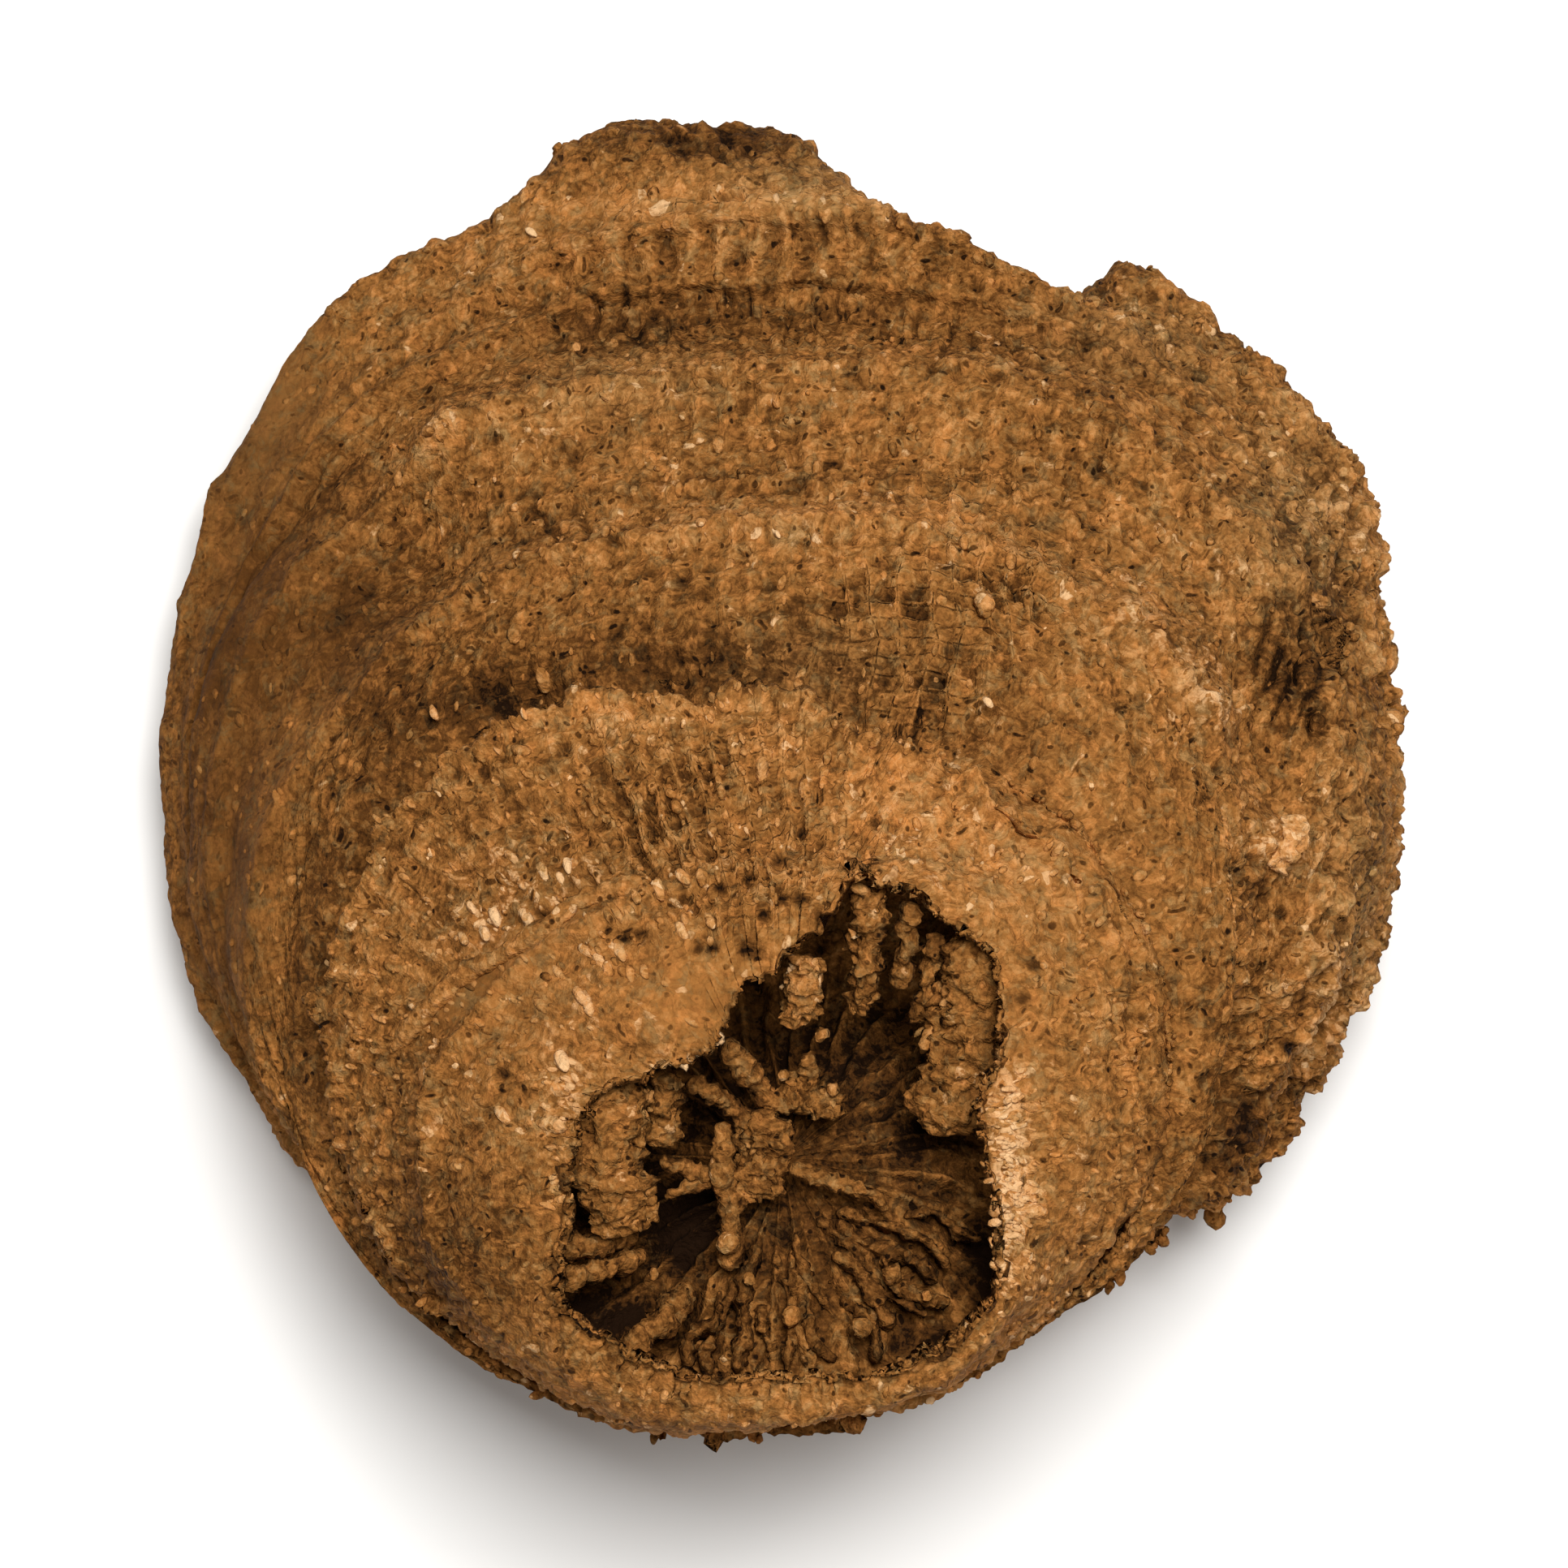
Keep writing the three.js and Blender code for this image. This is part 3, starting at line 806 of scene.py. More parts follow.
# Patches that are worn smooth.
CALM = stains(
    (-12.6, -9.4, 0.9, 0.9, 1.0), (-11.2, -8.4, 0.8, 0.8, 1.0), (-9.8, -7.5, 0.8, 0.7, 1.0),
    (-8.8, -6.8, 0.8, 0.6, 1.0), (-7.8, -6.2, 0.8, 0.5, 0.9), (-6.6, -5.6, 0.8, 0.4, 0.7),
    (-3.4, -9.5, 2.8, 2.4, 0.75), (-21.7, 6.0, 3.5, 13.2, 0.85), (-20.5, 17.3, 2.8, 4.7, 0.7),
    (-21.4, -5.1, 2.2, 5.3, 0.5), (-9.7, -10.0, 1.9, 1.9, 0.4), (-17.1, 5.8, 2.5, 3.8, 0.5),
    (-2.7, 23.2, 7.2, 0.7, 0.4), (10.9, -5.4, 2.8, 2.8, 0.35), (8.4, -10.4, 1.6, 1.9, 0.4),
)

# Patches where the chambers between the septa stand open.
OPEN = stains(
    (4.6, 5.4, 3.4, 2.4, 1.0), (8.2, 7.4, 2.6, 1.9, 0.8), (5.3, 1.9, 1.9, 1.6, 0.9),
    (0.2, -4.1, 3.4, 1.6, 1.0), (-1.1, -6.8, 2.4, 1.5, 0.8), (-5.0, -3.2, 3.0, 1.2, 0.7),
    (-1.0, 23.4, 6.0, 0.7, 0.7), (-2.0, -0.3, 4.5, 1.6, 0.7), (-6.5, 15.7, 6.3, 1.6, 0.3),
    (6.6, 10.9, 2.8, 0.9, 0.6), (-10.7, 2.7, 1.9, 1.3, 0.6),
)

# Patches with open slits between the septa.
SLITS = stains(
    (-3.7, 18.9, 6.0, 0.9, 1.0), (4.8, 17.6, 3.0, 0.8, 0.6), (0.5, 22.0, 4.5, 0.8, 0.5),
    (19.4, 4.3, 1.6, 2.2, 0.7), (-8.2, 9.6, 2.8, 1.3, 0.4), (3.5, 1.2, 4.0, 1.0, 0.5),
)

# Patches where the septal ribs stand bare.
RIBBED = stains(
    (-3.0, 21.5, 6.5, 1.1, 1.0), (-6.5, -3.4, 5.0, 2.6, 0.14), (-1.0, -5.6, 3.6, 1.6, 0.18),
    (-2.0, -0.9, 6.0, 1.4, 0.2), (4.0, 4.0, 4.0, 2.0, 0.15),
)

# Patches with round knobs.
NODULAR = stains(
    (-13.5, 14.0, 3.1, 1.4, 1.0), (14.5, 4.6, 2.8, 2.5, 0.9), (18.2, -2.7, 2.5, 1.9, 1.0),
    (21.3, 10.5, 1.9, 3.8, 1.0), (22.6, 2.3, 1.9, 5.0, 1.0), (20.0, -8.8, 2.8, 4.4, 0.9),
    (16.7, -14.2, 3.8, 2.8, 1.0), (13.6, 19.5, 2.8, 1.9, 0.7), (-3.7, 26.3, 5.3, 1.3, 0.6),
    (4.0, 22.9, 2.2, 1.3, 1.0), (-18.9, 11.9, 1.9, 1.9, 0.8), (-13.8, 2.3, 1.6, 1.3, 0.8),
    (8.4, -15.1, 1.6, 3.8, 0.4), (7.1, -22.6, 4.7, 1.9, 0.6),
)


def total(stains: tuple[Stain, ...], points: np.ndarray) -> np.ndarray:
    """Strength of many patches together at each point, from 0 to 1."""
    return np.clip(sum(stain.at(points) for stain in stains), 0, 1)


FURROW_SKIN = Skin(ribs=1.0, beads=0.6, painted_shade=0.5)
BARE = Skin(waves=0.0)

SLIT_FURROW = Ring(
    -1, (22.4, 21.6, 19.8, 22.2, 23.6, 22, 22.8, 21.6), (17.4, 14.9, 11.8, 10.8, 9, 10.4, 11, 13),
    25, Skin(ribs=1.3, beads=0.6, knobs=0.2, painted_shade=0.35),
)

LAST_CUP = (
    Ring(1.5, (0,), (2.3,), 1, BARE),
    Ring(1.5, (3.2,), (2.5,), 2, Skin(beads=0.6)),
    Ring(1.5, (5.2,), (3.3,), 3, Skin(beads=0.6, ribs=0.5)),
    Ring(1.5, (11, 11, 10.4, 11, 11.2, 11, 10.8, 11), (3.4,), 3, Skin(beads=0.6, ribs=1.0)),
    Ring(1.5, (16.2, 15.6, 15, 16, 16.4, 16.4, 16.2, 16), (1.9,), 2, Skin(beads=0.6, ribs=1.0)),
    Ring(1.5, (18.6, 17.8, 16.4, 18.4, 18.8, 18.8, 18.6, 18.4), (0,), 2, BARE, crisp=1.0),
    Ring(1.5, (21.8, 20.8, 18.8, 21.6, 22, 22, 21.8, 21.6), (0,), 4, BARE, crisp=1.0),
    Ring(
        2, (23.4, 22.8, 20.8, 24.2, 24.2, 23.6, 22.8, 22.8), (3.2, 3, 2.6, 2.4, 2.2, 2.4, 2.6, 3),
        14, Skin(ribs=0.6, beads=0.8, knobs=0.5),
    ),
    Ring(
        2.2,
        (24.4, 24.5, 25.3, 24.2, 20.4, 20.9, 24.4, 26.2, 24.5, 25.6, 25.3, 25.1,
         24.9, 25.3, 25.5, 25.3, 24.2, 23.8, 23.4, 23.0, 22.6, 24.8, 25.0, 25.2),
        (9, 8.5, 7.5, 6.5, 5.5, 6, 6.5, 8),
        33, Skin(ribs=0.7, beads=1.0, knobs=1.0), teeth=0.7,
    ),
    Ring(
        0, (23.4, 22.2, 22.8, 23.8, 24.2, 22.8, 23.0, 22.0), (14.5, 13, 12.2, 8.8, 7.6, 8.4, 9, 10.5),
        22, Skin(ribs=0.6, beads=0.9, knobs=0.7),
    ),
    SLIT_FURROW,
)

THIRD_CUP = (
    SLIT_FURROW,
    Ring(
        -3, (20.8, 21.6, 19.2, 21.4, 22.8, 21.2, 21.2, 20.4), (19.4, 17.5, 15.7, 13.4, 11.4, 12.8, 13, 15.2),
        22, Skin(ribs=0.6, beads=1.0, knobs=0.7),
    ),
    Ring(
        -6.5, (17.8, 20.0, 17.9, 21.0, 21.6, 18.4, 18.0, 14.9),
        (19.9, 19.2, 17.8, 14.6, 13.6, 15.2, 15.5, 17.2),
        19, Skin(ribs=0.8, beads=1.0, knobs=0.2, painted_shade=0.1),
    ),
    Ring(
        -8, (17.0, 18.4, 17.4, 19.6, 20.6, 17.4, 16.6, 14.2), (22.8, 22.5, 20.5, 17.4, 15.8, 17.4, 17.5, 20),
        27, Skin(ribs=0.8, beads=1.0, knobs=0.4), teeth=0.4,
    ),
    Ring(
        -14.6, (14.6, 17.0, 18.4, 20.8, 17.6, 13.1, 10.6, 11.3),
        (25.6, 26.0, 22.4, 19.2, 18.2, 18.8, 19.4, 21.8),
        3, FURROW_SKIN,
    ),
)

TIP_CUP = (
    Ring(
        -14.6, (13.9, 15.6, 15.8, 18.8, 17.0, 12.8, 10.5, 11.1),
        (26.1, 27.0, 22.8, 20.2, 19.4, 20.0, 20.2, 22.6),
        9, FURROW_SKIN,
    ),
    Ring(
        -14.6, (13.5, 15.2, 16.3, 19.4, 16.9, 12.8, 10.6, 11.1), (26.6, 27.4, 26.4, 24.0, 20.6, 21, 21, 23.4),
        26, Skin(ribs=1.0, beads=1.0, knobs=0.2), crisp=0.6, teeth=1.6,
    ),
    Ring(
        -14.6, (12.3, 13.2, 10.8, 11.4, 14.3, 12.8, 10.7, 11.0),
        (27.7, 28.6, 29.0, 28.0, 25.2, 24.4, 24, 25.8),
        8, Skin(ribs=0.8, beads=0.6, painted_shade=0.15), crisp=0.4,
    ),
    Ring(
        -14.6, (11.8, 12.8, 10.3, 11.0, 14.0, 12.7, 10.6, 10.9),
        (28.1, 28.9, 29.6, 28.9, 26.2, 25.2, 25, 26.4),
        17, Skin(ribs=0.5, beads=0.5), crisp=0.4,
    ),
    Ring(
        -14.6, (9.4, 11.0, 9.4, 7.4, 9.6, 11.4, 10.3, 10.7), (29.6, 30.2, 31.0, 31.2, 29.6, 28.2, 27.9, 29),
        14, Skin(ribs=0.4, beads=0.5),
    ),
    Ring(
        -14.6, (8.5,), (30.3, 30.4, 31.0, 31.3, 30.3, 29.2, 28.8, 29.6),
        2, Skin(beads=0.7, waves=0.4), crisp=1.0, ragged=0.28,
    ),
    Ring(
        -14.6, (8.5,), (30.0, 30.1, 30.7, 31.0, 30.0, 28.9, 28.5, 29.3),
        16, Skin(beads=0.2, waves=0.3, painted_shade=0.6, septa=0.01), crisp=1.0, ragged=0.28, widened=0.12,
    ),
    Ring(
        -14.8, (9.4, 10.4, 8.6, 8.2, 9.0, 9.9, 9.1, 9.4), (22.6, 21.0, 20.2, 20.6, 21.4, 22.2, 24.2, 23.2),
        5, Skin(waves=0.2, painted_shade=0.8, septa=0.5),
    ),
    Ring(
        -14.8, (7.8, 8.4, 7.0, 6.6, 7.0, 7.9, 7.7, 7.8), (21.8, 19.8, 19.2, 19.4, 20.2, 21.6, 24.3, 22.9),
        9, Skin(waves=0.2, painted_shade=0.6, septa=1.0),
    ),
    Ring(
        -14.9, (4.6, 4.4, 3.4, 3.2, 3.6, 4.4, 4.8, 4.8), (23.2, 21.8, 20.8, 21.0, 21.4, 22.6, 24.0, 23.8),
        6, Skin(waves=0.2, painted_shade=0.6, septa=0.9),
    ),
    Ring(-15, (1.4,), (23.2,), 2, Skin(waves=0.2, painted_shade=0.7, septa=0.3)),
    Ring(-15, (0,), (23.4,), 0, Skin(waves=0.0, painted_shade=0.6, septa=0.1)),
)


# The broken edge: bearing in degrees from +X and distance from the tip's middle in mm.
BROKEN_EDGE = (
    (2, 7.1), (9, 7.0), (15, 7.6), (23, 8.4), (31, 9.1), (38, 9.6), (44, 9.8), (49, 9.8), (54, 9.7),
    (58, 9.8), (63, 9.8), (66, 9.7), (69, 9.5), (72, 9.7), (74, 10.1), (75, 9.4), (76, 8.5), (80, 7.2),
    (85, 6.9), (88, 6.4), (91, 5.8), (98, 5.6), (104, 5.7), (109, 5.2), (116, 4.5), (124, 4.3), (132, 4.0),
    (142, 4.4), (149, 4.7), (158, 5.3), (163, 6.1), (167, 6.7), (174, 7.2), (182, 7.5), (189, 7.8),
    (198, 7.8), (204, 8.4), (208, 9.2), (212, 9.5), (216, 9.9), (222, 9.8), (229, 9.6), (236, 9.4),
    (244, 9.2), (252, 9.1), (261, 8.6), (273, 8.6), (284, 8.8), (296, 9.2), (306, 9.3), (315, 9.4),
    (323, 9.4), (330, 8.9), (339, 8.1), (347, 7.6), (356, 7.3),
)


def sunk(ring: Ring, share: float, drop: float, rows: int) -> Ring:
    """Ring drawn in and lowered inside the stone, where a cup ends out of sight.

    Args:
        ring: The last ring in sight.
        share: Part of its reach that is left.
        drop: How far it goes down, in mm.
        rows: Rows of the mesh up to the next ring.

    Returns:
        The ring inside the stone.
    """
    reach = tuple(value * share for value in ring.reach)
    height = tuple(value - drop for value in ring.height)
    return Ring(ring.centre, reach, height, rows, ring.skin)


def buried(ring: Ring, share: float, height: float, rows: int) -> Ring:
    """Level ring drawn in at a height inside the stone; a share of 0 closes the shell in one point."""
    return Ring(ring.centre, tuple(value * share for value in ring.reach), (height,), rows, BARE)


# -------- meshes


def in_row(points: np.ndarray) -> np.ndarray:
    """Points in mm on the coral's own axis, carried to metres in the row frame."""
    return (points + np.array(TO_ROW)) * MM


def placed(name: str, data: bpy.types.ID | None) -> bpy.types.Object:
    """Puts new data into the scene.

    Args:
        name: Name of the object.
        data: Its mesh, lamp or camera.

    Returns:
        The object.
    """
    thing = bpy.data.objects.new(name, data)
    bpy.context.scene.collection.objects.link(thing)
    return thing


def mesh_of(name: str, shape: bmesh.types.BMesh) -> bpy.types.Mesh:
    """Keeps a shape as a mesh.

    Args:
        name: Name of the mesh.
        shape: The shape, which is used up.

    Returns:
        The mesh.
    """
    mesh = bpy.data.meshes.new(name)
    shape.to_mesh(mesh)
    shape.free()
    return mesh


def keep_layer(mesh: bpy.types.Mesh, title: str, values: np.ndarray) -> None:
    """Keeps a number or a vector for each point of a mesh, for the finish to read.

    Args:
        mesh: The mesh.
        title: Name of the layer.
        values: One number or one vector for each point.
    """
    kind, key = ("FLOAT_VECTOR", "vector") if values.ndim > 1 else ("FLOAT", "value")
    layer = mesh.attributes.new(title, kind, "POINT")
    layer.data.foreach_set(key, values.astype(np.float32).ravel())


def woven(name: str, points: np.ndarray, layers: dict[str, np.ndarray]) -> bpy.types.Object:
    """Closed skin through rows of points, with a pole at each end.

    Args:
        name: Name of the piece.
        points: Rows, columns and x, y, z in mm. The first and last row are one point each.
        layers: Numbers for each point that the finish reads.

    Returns:
        The new object.
    """
    rows, columns = points.shape[:2]
    sheet = bmesh.new()
    bmesh.ops.create_grid(sheet, x_segments=columns, y_segments=rows - 1, size=1.0)
    mesh = mesh_of(name, sheet)
    flat = np.empty(len(mesh.vertices) * 3)
    mesh.vertices.foreach_get("co", flat)
    grid = flat.reshape(-1, 3)
    i = np.rint((grid[:, 0] + 1) / 2 * columns).astype(int)
    j = np.rint((grid[:, 1] + 1) / 2 * (rows - 1)).astype(int)
    ends = (i == 0) | (i == columns) | (j == 0) | (j == rows - 1)
    i = i % columns
    mesh.vertices.foreach_set("co", in_row(points[j, i]).ravel())
    for title, values in layers.items():
        keep_layer(mesh, title, values[j, i])
    skin = bmesh.new()
    skin.from_mesh(mesh)
    skin.verts.ensure_lookup_table()
    edge = [skin.verts[k] for k in np.nonzero(ends)[0]]
    bmesh.ops.remove_doubles(skin, verts=edge, dist=1e-8)
    bmesh.ops.recalc_face_normals(skin, faces=skin.faces[:])
    skin.to_mesh(mesh)
    skin.free()
    mesh.shade_smooth()
    return placed(name, mesh)


def dressed(piece: bpy.types.Object, finish: bpy.types.Material) -> bpy.types.Object:
    """Gives a piece its finish, hangs it on the body, and hides the plain part of the coral that it stands in
    for.

    Args:
        piece: The piece, in place.
        finish: Its material.

    Returns:
        The same piece.
    """
    piece.data.materials.append(finish)
    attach(piece, "root")
    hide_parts("horn_coral")
    return piece


# How strongly each form of the crust is painted: highlight where it stands out, shade where it sinks.
SHADES = {
    "walls": 2.2, "chambers": 0.6, "ribs": 0.8, "slits": 1.4, "crumbs": 0.8,
    "pits": 1.2, "knobs": 0.5, "septa": 0.5, "steps": 0.9,
}


@dataclass
class Wall:
    """Smooth wall of a stage: where its points lie, and how strong each form of the crust is there."""

    points: np.ndarray
    drawn: np.ndarray  # the points, with a drop counted only in part
    turns: np.ndarray  # place round the coral, from 0 to 1
    along: np.ndarray  # distance along the growth, in mm
    rough: np.ndarray  # 1, and less where the crust is calm
    ribbed: np.ndarray
    crumbly: np.ndarray
    nodular: np.ndarray
    opened: np.ndarray  # how far the chambers between the septa stand open
    across: np.ndarray = field(init=False)  # septa counted round the coral
    rising: np.ndarray = field(init=False)  # chambers counted along the growth


@dataclass
class CupStage:
    """One stage of the coral's growth: a closed shell of rows laid through its growth rings."""

    name: str
    rings: tuple[Ring, ...]
    columns: int
    bead_cells: int
    knob_cells: int
    seed: int
    start: int  # ring that distances along the growth are counted from
    knob_length: float = 1.1
    slot_pitch: float = 0.72  # length of a chamber along the growth
    chamber_width: float = 1.2
    ledges: tuple[Ledge, ...] = ()
    inset: float = 0.25  # how far the wall stands back, so that its grains end where the coral does
    knob_side: tuple[float, ...] = (1.0,)
    rib_side: tuple[float, ...] = (1.0,)
    bead_side: tuple[float, ...] = (1.0,)
    # share of the painted shade in the furrows, evenly round from +X
    painted_shade_side: tuple[float, ...] = (1.0,)
    points: np.ndarray = field(init=False)
    normals: np.ndarray = field(init=False)
    layers: dict[str, np.ndarray] = field(init=False, default_factory=dict)

    def turns(self) -> np.ndarray:
        """Place of each column round the coral, from 0 to 1."""
        return np.arange(self.columns) / self.columns

    def ring_points(self, ring: Ring) -> np.ndarray:
        """Points of one ring.

        Args:
            ring: The growth ring.

        Returns:
            One point for each column.
        """
        turns = self.turns()
        reach = around(ring.reach, turns)
        if ring.ragged:
            bearings, distances = zip(*BROKEN_EDGE)
            reach = np.interp(turns * 360, bearings, distances, period=360) + ring.widened
            for cells, share in ((130, 0.9), (208, 0.9), (416, 0.6)):
                flakes = scattered(np.floor(turns * cells), turns * 0, cells) - 0.5
                reach = reach + ring.ragged * share * flakes
        angle = turns * math.tau
        x = reach * np.cos(angle)
        y = ring.centre + reach * np.sin(angle)
        return np.stack([x, y, around(ring.height, turns)], axis=-1)

    def laid(self) -> np.ndarray:
        """Rows laid smoothly through the rings.

        Returns:
            Points of every row.
        """
        knots = np.stack([self.ring_points(ring) for ring in self.rings])
        steps = np.diff(knots, axis=0)
        lengths = np.linalg.norm(steps, axis=-1, keepdims=True) + 1e-6
        heading = steps / lengths
        even = (heading[:-1] * lengths[1:] + heading[1:] * lengths[:-1]) / (lengths[1:] + lengths[:-1])
        rows = []
        for k, (ring, following) in enumerate(zip(self.rings, self.rings[1:])):
            leave = heading[k]
            if k > 0:
                leave = even[k - 1] * (1 - ring.crisp) + heading[k] * ring.crisp
            arrive = heading[k]
            if k < len(steps) - 1:
                arrive = even[k] * (1 - following.crisp) + heading[k] * following.crisp
            leave, arrive = leave * lengths[k], arrive * lengths[k]
            rows += [
                curved(step / ring.rows, knots[k], knots[k + 1], leave, arrive) for step in range(ring.rows)
            ]
        rows.append(knots[-1])
        return np.stack(rows)

    def ring_row(self, index: int) -> int:
        """Row of the mesh on which a ring lies."""
        return sum(ring.rows for ring in self.rings[:index])

    def toothed(self, points: np.ndarray) -> np.ndarray:
        """Lips drawn out into teeth, each at the end of a rib.

        Args:
            points: Points of every row.

        Returns:
            The points with jagged lips.
        """
        turns = np.broadcast_to(self.turns(), points.shape[:2])
        travelled = self.travelled(points)
        level = np.zeros_like(travelled)
        single = soft_noise(turns, level, SEPTA, 1.0, self.seed + 31)
        groups = soft_noise(turns, level, 24, 1.0, self.seed + 32)
        length = TOOTH_LENGTH * (0.55 * single + 0.6 * groups)
        moved = points.copy()
        for index, ring in enumerate(self.rings):
            if ring.teeth == 0:
                continue
            row = self.ring_row(index)
            other = self.ring_row(index + 1) if ring.teeth > 0 else self.ring_row(index - 1)
            out = points[row] - points[other]
            out = out / (np.linalg.norm(out, axis=-1, keepdims=True) + 1e-6)
            near = np.clip(1 - np.abs(travelled - travelled[row]) / TOOTH_REACH, 0, 1) ** 2
            moved += (near * length * abs(ring.teeth))[..., None] * out
        return moved

    def travelled(self, points: np.ndarray) -> np.ndarray:
        """Distance of each point along the growth.

        Args:
            points: Points of every row.

        Returns:
            The distances in mm.
        """
        steps = np.linalg.norm(np.diff(points, axis=0), axis=-1)
        total = np.concatenate([np.zeros((1, self.columns)), np.cumsum(steps, axis=0)])
        return total - total[self.ring_row(self.start)]

    def drawn_out(self, points: np.ndarray) -> np.ndarray:
        """Distance along the growth, in mm, that counts a drop only in part."""
        return self.travelled(points * np.array((1.0, 1.0, STEEP_STRETCH)))

    def strengths(self, form: Form) -> np.ndarray:
        """Strength of one form of the skin on every row.

        Args:
            form: The form.

        Returns:
            A column of numbers.
        """
        values = []
        for ring, following in zip(self.rings, self.rings[1:]):
            low, high = getattr(ring.skin, form.value), getattr(following.skin, form.value)
            share = eased(np.arange(ring.rows) / max(ring.rows, 1))
            values += list(low + (high - low) * share)
        values.append(getattr(self.rings[-1].skin, form.value))
        return np.array(values)[:, None]

    def outward(self, points: np.ndarray) -> np.ndarray:
        """Outward direction of the surface at every point.

        Args:
            points: Points of every row.

        Returns:
            One direction for each point.
        """
        across = np.roll(points, -1, axis=1) - np.roll(points, 1, axis=1)
        facing = np.cross(across, np.gradient(points, axis=0))
        size = np.linalg.norm(facing, axis=-1, keepdims=True)
        return facing / np.maximum(size, 1e-9)

    def noise(self, wall: Wall, cells: int, pitch: float, draw: int) -> np.ndarray:
        """Smooth random field on the wall, of which a draw picks one."""
        return soft_noise(wall.turns, wall.along, cells, pitch, self.seed + draw)

    def wall(self, points: np.ndarray) -> Wall:
        """Measures the smooth wall.

        Args:
            points: Its points.

        Returns:
            The wall, with the strength of each form of its crust.
        """
        turns = np.broadcast_to(self.turns(), points.shape[:2])
        rough = 1 - 0.75 * total(CALM, points)
        ribbed = self.strengths(Form.RIBS) * around(self.rib_side, turns)
        nodular = self.strengths(Form.KNOBS) * around(self.knob_side, turns) * (0.4 + total(NODULAR, points))
        wall = Wall(
            points=points,
            drawn=points * np.array((1.0, 1.0, STEEP_STRETCH)),
            turns=turns,
            along=self.travelled(points),
            rough=rough,
            ribbed=ribbed,
            crumbly=self.strengths(Form.BEADS) * around(self.bead_side, turns) * rough,
            nodular=nodular * rough,
            opened=total(OPEN, points) * np.minimum(1.7 * ribbed, 1.2),
        )
        wall.across = turns * SEPTA + 0.28 * self.noise(wall, 90, 1.3, 0) + 0.3 * self.noise(wall, 30, 4.0, 1)
        wall.rising = wall.along / self.slot_pitch + 0.5 * self.drawn(wall, 17)
        wall.rising += 0.25 * self.noise(wall, 60, 2.0, 2)
        return wall

    def drawn(self, wall: Wall, draw: int, level: np.ndarray | None = None) -> np.ndarray:
        """Draws a random number for each septum."""
        number = np.mod(np.floor(wall.across), SEPTA)
        return scattered(number, number * 0 if level is None else level, self.seed + draw)

    def chambers(self, wall: Wall) -> dict[str, np.ndarray]:
        """Septal ribs, open chambers between them and slits.

        Args:
            wall: The smooth wall.

        Returns:
            Their heights in mm, by name.
        """
        septum, story = np.floor(wall.across), np.floor(wall.rising)
        beside = np.minimum(wall.across - septum, septum + 1 - wall.across) * self.chamber_width
        below = np.minimum(wall.rising - story, story + 1 - wall.rising) * self.slot_pitch
        edge = np.minimum(beside, below)
        worn = eased(0.5 + 0.9 * self.noise(wall, 52, 1.7, 4))
        deep = eased((self.drawn(wall, 18, story) - 0.6 + 0.35 * worn) / 0.2)
        hollowed = eased((edge - CHAMBER_WALL) / CHAMBER_SLOPE) * deep * wall.opened * (0.3 + 0.7 * worn)
        bare = RIB_HEIGHT * wall.ribbed + RIB_HEIGHT_BARE * total(RIBBED, wall.points)
        lone = eased((self.drawn(wall, 20, np.floor(wall.along / SLIT_LENGTH)) - 0.35) / 0.1)
        edges = np.exp(-((edge / SEPTUM_EDGE_WIDTH) ** 2)) * worn * (0.12 * wall.ribbed + wall.opened)
        return {
            "walls": SEPTUM_EDGE_HEIGHT * edges,
            "chambers": -CHAMBER_DEPTH * hollowed,
            "ribs": (np.cos(wall.across * math.tau) + 0.4 * self.drawn(wall, 19)) * bare * wall.rough,
            "slits": -SLIT_DEPTH * np.exp(-((beside / SLIT_WIDTH) ** 2)) * lone * total(SLITS, wall.points),
        }

    def floor_septa(self, wall: Wall) -> np.ndarray:
        """Septa and crumbs on the floor of the hollow.

        Args:
            wall: The smooth wall.

        Returns:
            Their height in mm.
        """
        strength = self.strengths(Form.SEPTA)
        coarse, fine = (
            cloud(wall.points, pitch, self.seed + 54 + number)
            for number, pitch in enumerate(FLOOR_CRUMB_PITCHES)
        )
        crumbs = 0.5 - np.abs(coarse) + 0.5 * (0.5 - np.abs(fine))
        ridges = self.floor_ridges(wall.turns, wall.along)
        return FLOOR_SEPTUM_HEIGHT * strength * ridges + FLOOR_CRUMB_HEIGHT * (strength > 0) * crumbs

    def crumbs(self, wall: Wall) -> dict[str, np.ndarray]:
        """Crumbs, pits and knobs that the crust is packed with.

        Args:
            wall: The smooth wall.

        Returns:
            Their heights in mm, by name.
        """
        flat, seed = self.drawn_out(wall.points), self.seed
        crumb = crumbs_in_space(wall.drawn, CRUMB_PITCH, seed + 5)
        packed = eased(crumb.inside / CRUMB_SEAM) - 0.62 + 0.9 * (crumb.pick - 0.5)
        soft = soft_noise(wall.turns, flat, self.bead_cells, 0.5, seed + 6)
        shaken = wall.drawn + 0.16 * cloud(wall.drawn, 0.5, seed + 9)[..., None]
        holes = crumbs_in_space(shaken, 1.0, seed + 8)
        size = 0.09 + 0.17 * holes.pick
        pits = np.exp(-((holes.middle / size) ** 2)) * eased((holes.pick - 0.6) / 0.1)
        patch = 0.5 + 0.5 * self.noise(wall, 24, 3.6, 3)
        bulges = []
        for count, pitch, draw, rare in ((1, 1.0, 11, 0.2), (2, 0.55, 14, 0.3)):
            grains = packed_grains(
                wall.turns, flat, self.knob_cells * count, self.knob_length * pitch, seed + draw
            )
            dome = np.sqrt(np.clip(1 - (grains.middle / KNOB_RADIUS) ** 2, 0, 1))
            bulges.append(dome * eased((grains.pick - rare) / 0.5))
